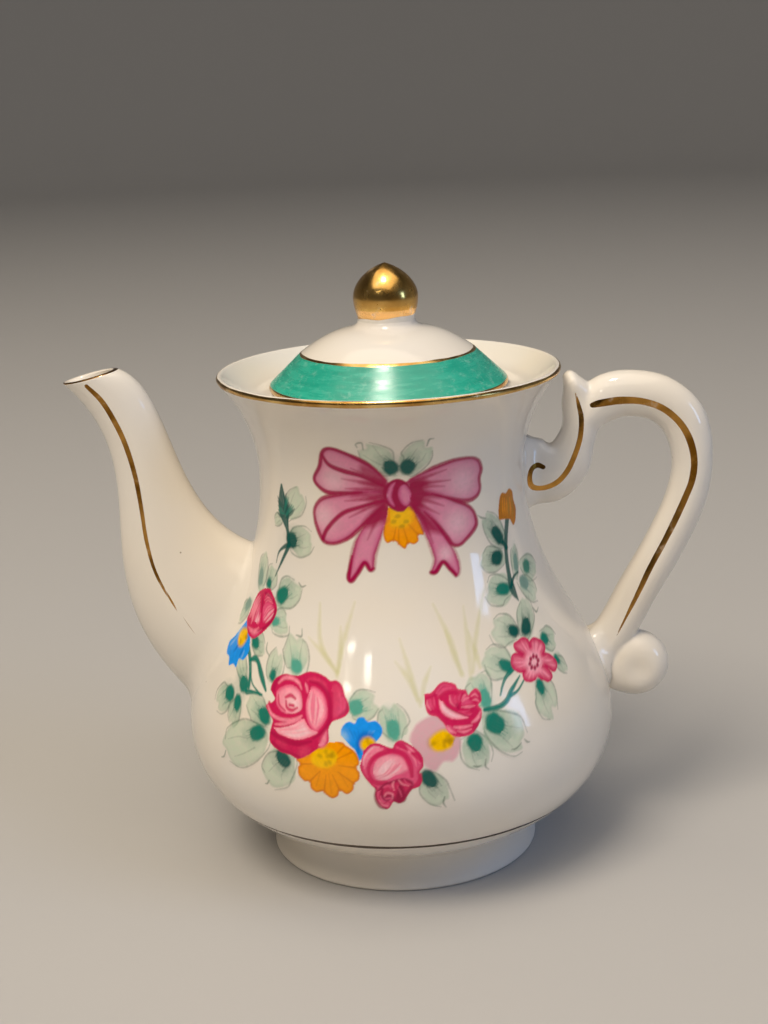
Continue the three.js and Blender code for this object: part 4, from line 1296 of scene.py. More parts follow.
def between_petals(middle, notches, inner=0.4):
    """Lines from near the middle out to the notches between the petals."""
    for notch in notches:
        start = np.array(middle) + inner * (np.array(notch) - middle)
        stroke([start, notch], (0.12, 0.34), BURNT_ORANGE, 0.85)


MAUVE_BLOT = [
    (1.2, 31.6), (2, 33.6), (3.4, 34.6), (5.2, 34.9), (7.4, 33.6), (9, 31.6), (8.8, 29.6), (7.8, 28.2),
    (6.2, 28.2), (5, 26.9), (3.6, 27.6), (2.6, 29),
]
fill(MAUVE_BLOT, MAUVE, MAUVE, 1, 0.74, 0.6)
yellow_eye((6.1, 31.3), 2.2, 1.6, 0.1, 9, 0.4)

LEFT_BLUE = [
    (-29.3, 44.8), (-31, 43.6), (-33.2, 41.8), (-34.9, 40.6), (-35, 39.2), (-33.8, 38.9), (-33.4, 37.9),
    (-32, 38.4), (-31, 38.2), (-30.4, 39.4), (-29, 39.6), (-27.8, 41), (-28, 43),
]
fill(LEFT_BLUE, BLUE, BLUE, 0.4, 1, light=(-31.6, 43, 1.2, PALE_BLUE))
hatch([(-32, 42), (-33.4, 41), (-34.6, 40)], [(-29, 41), (-29.4, 40.2), (-30, 39.4)], 8,
      (DEEP_BLUE, BLUE, PALE_BLUE), 0.4, 0.6)
yellow_eye((-30.2, 42.3), 1.7, 1.1, 0.7, 3, 0.8)

RIGHT_BLUE = [
    (-9.4, 32.3), (-9.1, 33.6), (-8.1, 34.3), (-7.2, 34.1), (-6.7, 34.8), (-5.8, 35), (-5.1, 34.4),
    (-3.9, 34.5), (-3, 33.6), (-3.1, 32.6), (-3.9, 31.7), (-5.4, 30.6), (-6.6, 28.8), (-7.2, 30.2),
    (-8.2, 31.1),
]
fill(RIGHT_BLUE, BLUE, BLUE, 0.4, 1, light=(-9, 32.2, 0.8, PALE_BLUE))
hatch([(-7.6, 31.6), (-8.2, 32.6), (-8.8, 33.4)], [(-4.6, 32.4), (-4, 32.9), (-3.4, 33.2)], 9,
      (BLUE, DEEP_BLUE, PALE_BLUE), 0.35, 0.3)
stroke([(-6.8, 30), (-6.6, 31.6), (-5.8, 32.6), (-4.6, 32.6)], (0.5, 0.9, 0.5), DEEP_BLUE, 0.7, 0.5)
yellow_eye((-5.2, 31.2), 1.2, 1.15, 0, 2, 0.8)

DAISY = [
    (-9.7, 31.4), (-8.6, 30.9), (-7.4, 30.2), (-6.8, 29.2), (-6.7, 28.3), (-7.2, 27.7), (-6.7, 27),
    (-6.8, 25.9), (-7.6, 25.2), (-7.8, 24.2), (-8.8, 23.4), (-9.9, 23.9), (-10.3, 23), (-11.2, 22.5),
    (-12.2, 23), (-12.7, 23.5), (-13.8, 23.2), (-14.7, 23.8), (-14.9, 24.8), (-15.8, 24.8), (-16.7, 25.6),
    (-16.8, 26.8), (-16.4, 27.4), (-17, 28), (-16.4, 29.2), (-14, 30.8),
]
fill(DAISY, ORANGE, BURNT_ORANGE, 0.6)
between_petals((-11.8, 28), [(-7.2, 27.7), (-7.6, 25.2), (-9.9, 23.9), (-12.5, 23.4), (-14.9, 24.8),
               (-16.4, 27.4), (-7.8, 30), (-9, 30.8)])
PETAL_LINES = [((-11.6, 26.4), (-11.3, 23.4)), ((-13, 26.6), (-13.8, 24.2)), ((-9.8, 26.8), (-8.6, 24.6))]
for start, end in PETAL_LINES:
    stroke([start, end], (0.2, 0.4, 0.2), BURNT_ORANGE, 0.45)
yellow_eye((-12.2, 28.8), 2.4, 1.7, 0.2, 8, 0)

HALF_DAISY = [
    (-1, 65), (-1.5, 62.6), (-1.7, 60.6), (-1.2, 59.5), (-0.2, 59.8), (0.4, 59.5), (0.9, 58.9),
    (1.6, 58.5), (2.1, 59.3), (3, 59.1), (3.7, 59.6), (3.7, 60.5), (4.6, 60.5), (4.2, 62), (3.5, 63.6),
    (2.8, 65),
]
fill(HALF_DAISY, ORANGE, BURNT_ORANGE, 0.5)
fill([(-0.6, 65), (2.3, 65), (2.9, 63.2), (1.9, 62), (0.6, 61.9), (-0.6, 62.4)], YELLOW, YELLOW, 0.9, 0.9,
     1)
between_petals((0.8, 64), [(-0.2, 59.8), (0.6, 59.3), (2.1, 59.3), (3.7, 60.5)], 0.5)
for spot in ((0.6, 63.6), (0, 62.8), (1.9, 62.7), (1.2, 62)):
    dab(spot, 0.45, 0.3, 0.2, OCHRE, 0.6)

BUD = [
    (18.8, 62), (19.2, 63.8), (19.9, 64.5), (21, 64.2), (22, 64.7), (23.1, 64), (23.4, 62.6), (24.1, 61),
    (23.6, 59.2), (22.7, 58.7), (21.8, 59.8), (20.2, 60.2), (18.8, 60.5),
]
fill(BUD, BUD_BROWN, BUD_BROWN, 0.6)
hatch([(20, 63.8), (19.9, 62.2), (20, 60.8)], [(22.6, 63.6), (22.9, 61.4), (22.7, 59.6)], 6,
      (ORANGE, OCHRE), 0.45, 0.6)
print("daisies and blue flowers painted")

# %% The pink flower
CRIMSON, DARK_CRIMSON, CERISE = enamels("D3225C", "9A0640", "E0426E")
ROSE, PINK, PALE_PINK = enamels("EA5886", "FF98B0", "FFD0DA")
PINK_MIDDLE = np.array((23.4, 39.1))
PINK_PETALS = [
    [(23.3, 39.6), (21.2, 40.5), (20, 41.1), (19.4, 41.8), (19.5, 42.4), (20.4, 42.6), (21.4, 42.8),
     (22.4, 42.5), (23, 41.8), (23.2, 40.8)],
    [(23.4, 39.5), (22.9, 41.5), (23.3, 42.1), (24.2, 42.2), (25.6, 41.6), (26.6, 40.7), (26.4, 39.9),
     (25.2, 39.4)],
    [(23.8, 39.2), (25.2, 39.6), (26.7, 39.6), (28.1, 38.8), (29, 37.7), (28.5, 36.9), (27.6, 36.8),
     (26.5, 37.6), (25.2, 38.4)],
    [(23.7, 38.8), (25.4, 38.3), (26.6, 37.5), (27.3, 36.3), (26.2, 35.8), (24.8, 36.4), (23.9, 37),
     (23.5, 37.8)],
    [(23.3, 38.8), (23.7, 37.5), (23.2, 36.8), (22.1, 36.7), (21, 37.1), (20.6, 37.8), (20.8, 38.5),
     (22, 39)],
    [(23, 39.2), (21.6, 38.5), (20.4, 38.3), (19.3, 38.8), (18.6, 39.6), (18.6, 40.5), (19.1, 41.1),
     (20.2, 41), (21.6, 40.3)],
]
dab(PINK_MIDDLE, 2.6, 1.9, -0.3, PINK, 1, 0.5)
for petal in PINK_PETALS:
    fill(petal, PINK, CRIMSON, 0.95)
    for corner in petal[2:-1]:
        to_middle = PINK_MIDDLE - corner
        stroke([corner + 0.12 * to_middle, corner + 0.5 * to_middle], (0.7, 0.15), CRIMSON, 0.5)
dab(PINK_MIDDLE, 2.2, 1.6, -0.3, PINK, 0.8, 1)
dab(PINK_MIDDLE, 1.5, 1.1, -0.3, PALE_PINK, 0.6, 1.4)
around = np.linspace(0, 2 * math.pi, 9)
ring = PINK_MIDDLE + np.column_stack([0.95 * np.cos(around), 0.75 * np.sin(around)])
stroke(ring, (0.3, 0.3), CRIMSON, 0.7)
for turn, spot in zip(around[1:], ring[1:]):
    dab(spot, 0.34, 0.26, turn, DARK_CRIMSON, 0.9)
print("pink flower of", len(PINK_PETALS), "petals")

# %% [markdown]
# ### Roses
#
# A painted rose is one crimson patch on which the lighter petals are wiped and the dark folds redrawn:
# pale crescents for the petals that catch the light, hatched with fine pulls, and curved dark pulls
# between them that wind round the heart.


# %% The big rose
def pulls(colour, strength, *plans):
    """Soft pulls in one colour. A plan is a path and its widths."""
    for path, widths in plans:
        stroke(path, widths, colour, strength, 0.28)


BIG_ROSE = [
    (-21.9, 37), (-21.5, 38.1), (-20.5, 39), (-19, 39.6), (-17.6, 39.6), (-16.2, 39.8), (-14.8, 40.4),
    (-13.2, 40.5), (-11.8, 40.1), (-10.9, 39.6), (-10, 39.7), (-9.1, 39.2), (-8.6, 37.8), (-8.1, 36.8),
    (-8, 35.7), (-9, 34.8), (-10.6, 34.2), (-11.4, 33), (-11.5, 31.2), (-13.2, 30.1), (-15.2, 28.8),
    (-16.8, 28.1), (-18.2, 28.5), (-20, 28.7), (-21.8, 29.6), (-22, 30.8), (-21.6, 32.2), (-21.4, 33),
    (-22.2, 33.9), (-22.8, 34.8), (-21.6, 35.4), (-21, 36.1),
]
fill(BIG_ROSE, CRIMSON, CRIMSON, 0.6)
TOP_PETAL = [
    (-15.4, 39.4), (-14, 40.1), (-12.5, 40), (-11.3, 39.2), (-11.1, 37.4), (-11.9, 38), (-13, 38.8),
    (-14.5, 39),
]
RIGHT_PETAL = [
    (-10.7, 39.2), (-9.8, 39.5), (-9.1, 38.8), (-8.8, 37.7), (-8.2, 36.8), (-8.4, 35.8), (-9.3, 35),
    (-10.5, 34.4), (-10.9, 35), (-10.7, 36.4), (-10.8, 37.9),
]
fill(TOP_PETAL, CERISE, CRIMSON, 0.7, 0.9, 0.7)
fill(RIGHT_PETAL, CERISE, CRIMSON, 0.6, 0.95, 0.6, light=(-9.2, 35.8, 1.2, ROSE))
hatch([(-10.3, 38.9), (-10.2, 37), (-10.5, 35)], [(-9.1, 38), (-8.6, 36.6), (-8.9, 35.4)], 6,
      (ROSE, CERISE), 0.4, 0.5)
HEART = [
    (-20.6, 37.1), (-19.2, 38), (-17.5, 38.3), (-16.2, 37.7), (-15.8, 36.5), (-16, 35.2), (-17.5, 34.5),
    (-19.4, 34.4), (-20.6, 35.2), (-20.8, 36.2),
]
LONG_PETAL = [
    (-14.2, 38.5), (-13, 38.4), (-12, 37.6), (-11.5, 36.2), (-11.6, 34.6), (-12.5, 33.3), (-13.5, 32.5),
    (-14.5, 33.1), (-15.1, 34.4), (-15.2, 35.8), (-14.8, 37.2),
]
LOW_PETAL = [
    (-21.2, 32), (-19.6, 32.2), (-17.5, 33), (-15.7, 34), (-15.2, 33.6), (-14.4, 32.8), (-13.2, 32.4),
    (-14.2, 31.8), (-15.7, 31.2), (-17.3, 30.9), (-19.1, 31.1), (-20.5, 31.4),
]
fill(HEART, PINK, ROSE, 0.7, light=(-17.4, 35.8, 1.5, PALE_PINK))
fill(LONG_PETAL, PINK, ROSE, 0.7)
hatch([(-14.2, 38.2), (-14.9, 36), (-14.4, 33.6)], [(-12.6, 37.6), (-11.9, 35.6), (-13, 33.2)], 9,
      (PINK, PALE_PINK, ROSE), 0.4, 0.5)
fill([(-15.3, 39), (-14.8, 38.7), (-14.6, 37.9), (-14.9, 37.5), (-15.3, 38.2)], PINK, ROSE, 0.3, 0.8)
fill(LOW_PETAL, PALE_PINK, PINK, 0.9)
hatch([(-20.6, 31.9), (-17.8, 32.6), (-15.4, 33.8)], [(-19.6, 31.4), (-17, 31.4), (-14, 32)], 7,
      (PALE_PINK, PINK), 0.4, 0.6)
fill([(-13, 31.1), (-12.5, 32.1), (-11.7, 33), (-11.5, 32.2), (-11.7, 31), (-12.4, 30.3), (-13.2, 30.3)],
     PINK, ROSE, 0.5, 0.85, 0.5)
dab((-15.6, 29.4), 1.1, 0.7, 0.4, CERISE, 0.8, 0.8)
dab((-19.6, 30), 1, 0.5, -0.2, CERISE, 0.5, 0.7)
pulls(
    DARK_CRIMSON, 0.45,
    ([(-14.4, 39.2), (-12.6, 38.9), (-11.4, 37.8), (-11, 36.2), (-11.2, 34.2), (-12.4, 32.6), (-14, 31.5)],
     (0.3, 0.6, 0.7, 0.7, 0.6, 0.5, 0.3)),
    ([(-21.4, 37.2), (-21.1, 38), (-20.4, 38.7)], (0.9, 0.8, 0.5)),
    ([(-21.6, 31.2), (-19.4, 30.6), (-16.8, 30.4), (-14.4, 31)], (0.6, 0.8, 0.8, 0.4)),
    ([(-21.4, 29.8), (-19.8, 29), (-18.2, 28.8), (-16.6, 28.4)], (0.5, 0.5, 0.4, 0.5)),
    ([(-8.3, 36.6), (-8.5, 35.8), (-9.6, 35)], (0.3, 0.5, 0.3)),
)
pulls(
    CRIMSON, 0.95,
    ([(-18.9, 36.5), (-17.9, 36.9), (-17.1, 36.6)], (0.35, 0.55, 0.4)),
    ([(-18.8, 36), (-18.6, 35.2), (-17.7, 34.95), (-16.7, 35.4)], (0.35, 0.5, 0.5, 0.3)),
    ([(-18.1, 35.6), (-17.4, 35.6)], (0.5, 0.45)),
    ([(-20.3, 36.6), (-20.1, 35.4), (-19, 34.7)], (0.25, 0.35, 0.25)),
    ([(-22.1, 35.2), (-21.4, 34.4), (-19.8, 33.9), (-17.7, 34.1), (-15.7, 35)], (0.6, 0.7, 0.6, 0.5, 0.3)),
    ([(-15.6, 38.2), (-15.45, 36.4), (-15.6, 34.6)], (0.6, 0.5, 0.3)),
)
pulls(
    PINK, 0.9,
    ([(-22.4, 34.8), (-21.6, 33.8), (-19.8, 33.4), (-17.7, 33.6), (-15.9, 34.4)], (0.3, 0.5, 0.5, 0.45, 0.2)),
    ([(-20.9, 32.5), (-19.5, 32.75), (-17.7, 33.3), (-16.1, 34)], (0.2, 0.4, 0.4, 0.2)),
    ([(-20.3, 38.2), (-19.2, 39), (-17.7, 39.2), (-16.5, 38.8), (-15.9, 38)], (0.25, 0.5, 0.55, 0.5, 0.2)),
)
print("big rose painted")

# %% The other roses
MIDDLE_ROSE = [
    (-6, 30.1), (-4.9, 31.2), (-3.7, 31.4), (-2.3, 30.9), (-1.5, 30.7), (-1.1, 31.4), (-0.2, 31.8),
    (0.9, 31.3), (2.1, 30.4), (3, 29.2), (3.1, 27.8), (2.5, 26.9), (2.8, 25.7), (2.4, 24.7), (1.2, 24.2),
    (0.4, 23.1), (-0.6, 22.1), (-1.6, 22.3), (-2.1, 21.7), (-2.8, 21.2), (-3.8, 21.8), (-4.4, 23.2),
    (-4.3, 24.3), (-4.9, 25), (-6, 26.4), (-6.6, 28),
]
fill(MIDDLE_ROSE, ROSE, CRIMSON, 0.7)
hatch([(-6.2, 27.6), (-5.8, 29.4), (-4.6, 30.7), (-3, 30.9)], [(-5.4, 27.4), (-5, 29), (-3.9, 30.2),
      (-2.4, 30.3)], 4, (PINK, PALE_PINK), 0.4)
hatch([(-0.6, 31.2), (0.8, 30.8), (2, 29.6), (2.6, 28.2)], [(-0.2, 30.3), (0.9, 29.8), (1.6, 28.6),
      (1.9, 27.2)], 4, (ROSE, PINK), 0.4)
DISC = [
    (-4.6, 27.6), (-3.9, 29), (-2.3, 29.8), (-0.5, 29.7), (0.5, 28.8), (0.9, 27.4), (0.1, 26.9),
    (-1.3, 26.6), (-2.6, 25.9), (-4, 25.9), (-4.5, 26.6),
]
fill(DISC, PINK, ROSE, 0.6, light=(-2.6, 27.4, 1.8, PALE_PINK))
hatch([(-4.4, 27.2), (-3.6, 28.6), (-2.2, 29.5)], [(-2.2, 26.4), (-0.6, 27.2), (0.3, 28.2)], 9,
      (PINK, PALE_PINK), 0.4)
pulls(
    CERISE, 0.6,
    ([(-4.2, 26.4), (-2.8, 26.9), (-1.6, 28.4)], (0.1, 0.18, 0.1)),
    ([(-3.6, 26.2), (-2.2, 26.9), (-1, 28.2)], (0.1, 0.18, 0.1)),
    ([(-3, 26.4), (-1.8, 27), (-0.5, 28.4)], (0.1, 0.16, 0.1)),
)
pulls(
    CRIMSON, 0.95,
    ([(-4.8, 25.8), (-5.3, 27.1), (-5, 28.5), (-3.9, 29.6), (-1.7, 30.3), (0.2, 29.7), (1.1, 28.1),
      (1.3, 26.4)],
     (0.6, 0.6, 0.7, 0.75, 0.8, 0.8, 0.8, 0.6)),
    ([(-5.2, 26), (-4, 25.4), (-2.6, 25.5)], (0.5, 0.8, 0.5)),
    ([(2.6, 26.6), (2.3, 25.3), (1.4, 24.7)], (0.4, 0.8, 0.4)),
    ([(-0.7, 31.2), (0.1, 30.9), (0.7, 30.3)], (0.5, 0.8, 0.3)),
    ([(1.5, 29.8), (2.3, 29.4), (2.7, 28.6)], (0.5, 0.9, 0.4)),
)
CURLED_BUD = [
    (-4.1, 23.8), (-3.4, 25), (-2, 25.7), (0.1, 26.1), (1.4, 25.4), (1.2, 24.4), (0.5, 23.5), (0.1, 22.4),
    (-0.9, 22.1), (-1.6, 22.5), (-2.1, 23.1), (-3, 23),
]
fill(CURLED_BUD, CRIMSON, DARK_CRIMSON, 0.7, 0.95, 0.4)
fill([(-0.6, 25.2), (0, 24.4), (0.1, 22.8), (-0.9, 22.2), (-1.3, 22.9), (-1, 24.2)], DARK_CRIMSON,
     DARK_CRIMSON, 0.5, 0.9, 0.5)
fill([(-4.3, 23.9), (-4.2, 22.6), (-3.6, 21.6), (-2.6, 21.1), (-2, 21.9), (-2.5, 22.5), (-3.3, 22.1),
     (-3.7, 23.1), (-3.4, 24.4)], ROSE, CRIMSON, 0.4, 0.95)
pulls(
    DARK_CRIMSON, 0.85,
    ([(-4.3, 24.6), (-4.4, 22.9), (-3.8, 21.5), (-2.8, 21.15)], (0.25, 0.45, 0.45, 0.3)),
    ([(-3.2, 24.6), (-3.4, 23.4), (-2.9, 22.6), (-2.2, 22.7)], (0.2, 0.35, 0.35, 0.2)),
)
pulls(
    PINK, 0.75,
    ([(-3, 23.3), (-2.6, 23.8), (-1.8, 23.6), (-1.8, 22.9)], (0.25, 0.35, 0.35, 0.2)),
    ([(-1.5, 25.6), (-1.7, 25.1), (-1.5, 24.3)], (0.2, 0.35, 0.2)),
    ([(-0.7, 25.8), (-0.2, 25.2), (0.7, 24.9)], (0.2, 0.3, 0.15)),
    ([(-3.8, 22.6), (-3.3, 21.8), (-2.6, 21.6)], (0.15, 0.3, 0.2)),
)
pulls(
    ROSE, 0.75,
    ([(-3.1, 24.7), (-2.3, 25), (-2, 24.5)], (0.25, 0.4, 0.2)),
    ([(0.1, 25.9), (0.5, 25.3), (1.2, 25)], (0.12, 0.25, 0.12)),
    ([(-1, 24.9), (-0.6, 24), (-0.4, 23.2)], (0.12, 0.25, 0.12)),
)

RIGHT_ROSE = [
    (3.6, 37.8), (4.6, 38), (5.1, 38.3), (5.9, 39), (6.9, 39.3), (8.5, 38.8), (9, 38.1), (10.2, 37.8),
    (10.6, 37.1), (11.1, 37.5), (11.9, 37.8), (12.6, 37.1), (12.7, 36), (12.2, 35.5), (12.7, 34.7),
    (12.4, 33.3), (11.2, 31.9), (9.7, 31.5), (8.1, 31.7), (7.1, 32.5), (6.5, 33.6), (5.6, 34.6),
    (4.2, 35.1), (3.7, 36.4),
]
fill(RIGHT_ROSE, CRIMSON, CERISE, 0.6)
fill([(5.4, 38.2), (6, 38.8), (6.9, 39), (8.2, 38.6), (8.6, 38.1), (7.4, 38), (6.2, 37.5), (5.6, 37.2)],
     ROSE, CERISE, 0.5, 0.9, 0.4)
hatch([(4, 37.4), (4.1, 36.4), (4.6, 35.6)], [(5, 37.6), (5.2, 36.6), (5.4, 35.9)], 5,
      (ROSE, PINK, CERISE), 0.35, 0.8)
hatch([(5.6, 38), (6.6, 38.8), (8, 38.6)], [(5.9, 37.4), (6.8, 37.9), (8, 38.1)], 5,
      (ROSE, PINK, CRIMSON), 0.3, 0.7)
CUPPED_PETAL = [
    (5.9, 37), (6, 35.8), (6.7, 34.8), (8.2, 34.1), (10.4, 34), (9.5, 34.5), (8.1, 35.2), (7.1, 35.8),
    (6.5, 36.6),
]
fill(CUPPED_PETAL, PALE_PINK, PINK, 0.6, 0.95, 0.3)
hatch([(6.1, 36.8), (6.3, 35.6), (7.4, 34.7)], [(6.5, 36.4), (7, 35.7), (8.4, 34.9)], 4,
      (PINK, PALE_PINK), 0.3, 0.6)
hatch([(8.4, 35.7), (7.7, 36.5), (7.6, 37.4)], [(9.1, 36.1), (9.1, 36.9), (9.5, 37.6)], 7,
      (PINK, ROSE, CERISE), 0.4, 0.75)
hatch([(9.4, 36.4), (9.9, 37), (10.3, 37.2)], [(9.4, 35.6), (10.6, 35.5), (11.8, 35.5)], 8,
      (PINK, ROSE, CERISE), 0.4, 0.75)
hatch([(10.9, 37.1), (11.6, 37.4), (12.2, 36.9)], [(11.2, 36.3), (11.8, 36.3), (12.3, 36)], 4,
      (ROSE, CERISE, PINK), 0.3, 0.8)
hatch([(8.6, 35.1), (9.8, 34.9), (11.2, 35.1)], [(9.4, 34.7), (10.4, 34.4), (11.4, 34.6)], 3,
      (ROSE, CERISE), 0.3, 0.7)
hatch([(6.8, 33.3), (7.3, 32.6), (8.1, 32)], [(7.3, 33.4), (7.8, 32.8), (8.6, 32.2)], 3, (PINK, ROSE),
      0.35, 0.85)
pulls(
    CRIMSON, 0.85,
    ([(5.6, 37.6), (5.5, 35.8), (5.9, 34.7), (7.3, 33.8), (9.4, 33.5), (11.1, 34), (11.8, 35)],
     (0.3, 0.5, 0.6, 0.6, 0.55, 0.5, 0.3)),
    ([(6.9, 37.4), (7.4, 36.4), (8.2, 35.6)], (0.25, 0.4, 0.25)),
)
pulls(
    PINK, 0.85,
    ([(8.1, 33), (9.4, 32.8), (10.9, 32.9)], (0.3, 0.5, 0.25)),
    ([(8.6, 32.4), (9.7, 32.15), (10.8, 32.4)], (0.15, 0.35, 0.15)),
    ([(11, 33.3), (11.9, 33.7), (12.4, 34.5)], (0.25, 0.55, 0.25)),
)
pulls(
    DARK_CRIMSON, 0.55,
    ([(6.6, 36.4), (7.2, 35.75), (8.2, 35.15), (9.5, 34.6), (10.6, 34.2)], (0.12, 0.22, 0.25, 0.2, 0.1)),
    ([(12.5, 37), (12.6, 36.2)], (0.3, 0.4)),
    ([(12.3, 33.5), (11.3, 32.1)], (0.3, 0.35)),
    ([(8.7, 36), (8.9, 35.5)], (0.4, 0.3)),
)

SMALL_ROSE = [
    (-23.8, 50.3), (-23.1, 50), (-21.9, 48.9), (-21.4, 47.9), (-21.7, 46.8), (-22.9, 45.4), (-25, 43.8),
    (-27, 42.8), (-28.7, 43.1), (-29.8, 44.7), (-29.3, 45.7), (-28.2, 47.7), (-27, 49.1), (-25.2, 50),
]
fill(SMALL_ROSE, CRIMSON, CRIMSON, 0.5)
hatch([(-29.2, 44.8), (-28.2, 47.2), (-26.6, 49)], [(-28, 44.4), (-27.4, 46.4), (-26, 48.4)], 6,
      (ROSE, PINK), 0.4, 0.7)
fill([(-27.4, 45), (-26.8, 46.4), (-26.1, 47.6), (-26, 46.6), (-25.6, 45.5), (-26.2, 44.9)], PALE_PINK,
     ROSE, 0.7, 0.9, 0.4)
hatch([(-27.4, 45.2), (-26.8, 46.6), (-26, 48)], [(-26.2, 45), (-25.9, 45.8), (-25.6, 46.6)], 4,
      (PINK, ROSE), 0.3, 0.6)
fill([(-25, 48), (-23.6, 48.6), (-22.2, 48.2), (-22, 47), (-23.2, 45.8), (-24.8, 45.2), (-25.3, 46.4)],
     ROSE, CRIMSON, 0.5)
hatch([(-25, 46.2), (-23.8, 47.6), (-22.4, 48.2)], [(-24.2, 45.4), (-22.9, 46.4), (-22, 47.3)], 8,
      (PINK, ROSE, PALE_PINK, CRIMSON), 0.3, 0.75)
hatch([(-25.2, 48.6), (-24, 49.4), (-22.6, 49)], [(-25, 48), (-23.8, 48.6), (-22.4, 48.4)], 3,
      (ROSE, PINK), 0.3, 0.6)
hatch([(-29, 43.9), (-27, 43.9), (-25, 44.9)], [(-28.4, 43.3), (-26.8, 43.2), (-24.6, 44.3)], 4,
      (ROSE, PINK), 0.35)
pulls(
    DARK_CRIMSON, 0.65,
    ([(-25.6, 49), (-25.4, 47.8), (-25.4, 46.6)], (0.3, 0.4, 0.2)),
    ([(-25, 49.4), (-23.6, 49.3), (-22.2, 48.7)], (0.3, 0.4, 0.2)),
    ([(-21.7, 47.8), (-22.4, 46.2), (-24, 44.9), (-26, 44)], (0.4, 0.5, 0.4, 0.2)),
)
print("three more roses painted")

# %% [markdown]
# ### Bow
#
# Each loop and tail of the ribbon is a pink patch that pales in the middle, with a dark line round its
# edge: firm round the loops, thin on the tails but for their notched ends. Soft dark stains by the knot
# and dark pulls that fan out from it and fade make the ribbon look gathered. The knot comes last.

# %% Bow
RIBBON_DARK, RIBBON_RIM, RIBBON, RIBBON_PALE = enamels("A20045", "CC548A", "DE84A8", "E8B4C6")
LEFT_UPPER = [
    (0.2, 68.4), (-1, 69.4), (-2.7, 71.3), (-4.3, 72.5), (-7.2, 73.9), (-9.6, 74.6), (-11, 73.9),
    (-11.7, 71.4), (-12.8, 69.4), (-12.3, 68.2), (-10.5, 67.2), (-7.7, 67.3), (-4.8, 67.5), (0.2, 67.2),
]
LEFT_LOWER = [
    (0.2, 67.8), (-4, 67.6), (-6.8, 67.2), (-9.8, 66.7), (-11.8, 65.9), (-13, 64.4), (-13.1, 62.8),
    (-12.6, 61.1), (-11.8, 59.6), (-10.8, 59.1), (-9.1, 59.3), (-7.2, 60.2), (-5.6, 61.5), (-3.4, 63.6),
    (-1.4, 65.4), (0.2, 65.8),
]
LEFT_TAIL = [
    (-1.6, 65.4), (-3.6, 63.2), (-5.6, 60.7), (-6.6, 58.2), (-7.2, 55.7), (-7.5, 54.1), (-7, 53.7),
    (-6, 54.8), (-4.8, 56.4), (-4, 55.4), (-3.4, 55.6), (-3.1, 57.6), (-2.4, 59.6), (-1.6, 61.9),
    (-0.9, 64.4),
]
RIGHT_UPPER = [
    (1.2, 68.4), (2.8, 69.4), (4.8, 70.3), (6.9, 71.1), (10, 71.8), (13, 71.7), (14.5, 70.9), (15, 69.4),
    (14.6, 68), (14.7, 66.2), (13.8, 65.1), (11.9, 64.8), (9, 65.7), (6.1, 66.7), (1.2, 67),
]
RIGHT_LOWER = [
    (1.2, 67.5), (6, 66.9), (8.2, 66.1), (10, 65.2), (11.9, 64.2), (13.2, 63), (13.8, 61.3), (13.4, 60.2),
    (11.7, 58.8), (10.4, 58.1), (9.2, 58.4), (8.2, 59.8), (6.7, 61.9), (4.8, 64), (1.2, 65.8),
]
RIGHT_TAIL = [
    (3, 65), (4, 62.6), (4.8, 60.5), (5.7, 58.2), (6.1, 56.3), (5.5, 54.6), (6.3, 54.6), (7.5, 55.9),
    (8.6, 54.8), (9.6, 53.7), (10.2, 54), (10.2, 55.4), (9.5, 57.4), (8.2, 59.8), (6.4, 62.4),
    (4.6, 64.4),
]
for shape, light, firmness in (
    (LEFT_TAIL, None, 0.55),
    (RIGHT_TAIL, (8, 57.2, 1.2, RIBBON_PALE), 0.45),
    (LEFT_LOWER, (-11.4, 63.2, 2.2, RIBBON_PALE), 0.92),
    (LEFT_UPPER, (-9.4, 69.2, 2.4, RIBBON_PALE), 1),
    (RIGHT_LOWER, (10.2, 61.6, 2.4, RIBBON_PALE), 0.92),
    (RIGHT_UPPER, (11.4, 68, 2.8, RIBBON_PALE), 0.85),
):
    fill(shape, RIBBON, RIBBON_RIM, 1.1, 0.95, 0.3, light)
    stroke(shape[1:-1], (0.3, 0.75, 0.55, 0.75, 0.55, 0.75, 0.3), RIBBON_DARK, firmness, 0.3, 0.08)

STAINS = [
    ([(-0.8, 69.4), (-2.6, 71.2), (-4.6, 72), (-5, 70.8), (-3.4, 69.6), (-5, 69),
      (-3.2, 68.2), (-1.4, 68.2)], 0.75),
    ([(-1, 67.9), (-3, 67.6), (-5.4, 67.6), (-6.6, 66.7), (-4.4, 66.5), (-2.6, 65.4), (-1, 66)], 0.7),
    ([(-0.7, 65.6), (-2.7, 65), (-4.8, 62.4), (-3.5, 62), (-2.2, 62.6), (-1.2, 63)], 0.95),
    ([(2.6, 69), (4.6, 69.4), (5.6, 68.6), (5, 67.8), (6.4, 66.8), (7.6, 66.1), (5, 66), (4.6, 64.8),
      (3, 64.6), (2.6, 66)], 0.95),
    ([(2.8, 65.2), (4.8, 64), (6.7, 61.9), (7.6, 60.4), (6.2, 60.6), (5, 61), (3.6, 63.4)], 0.85),
]
for shape, strength in STAINS:
    fill(shape, RIBBON_DARK, RIBBON_DARK, 1, strength, 1.1)
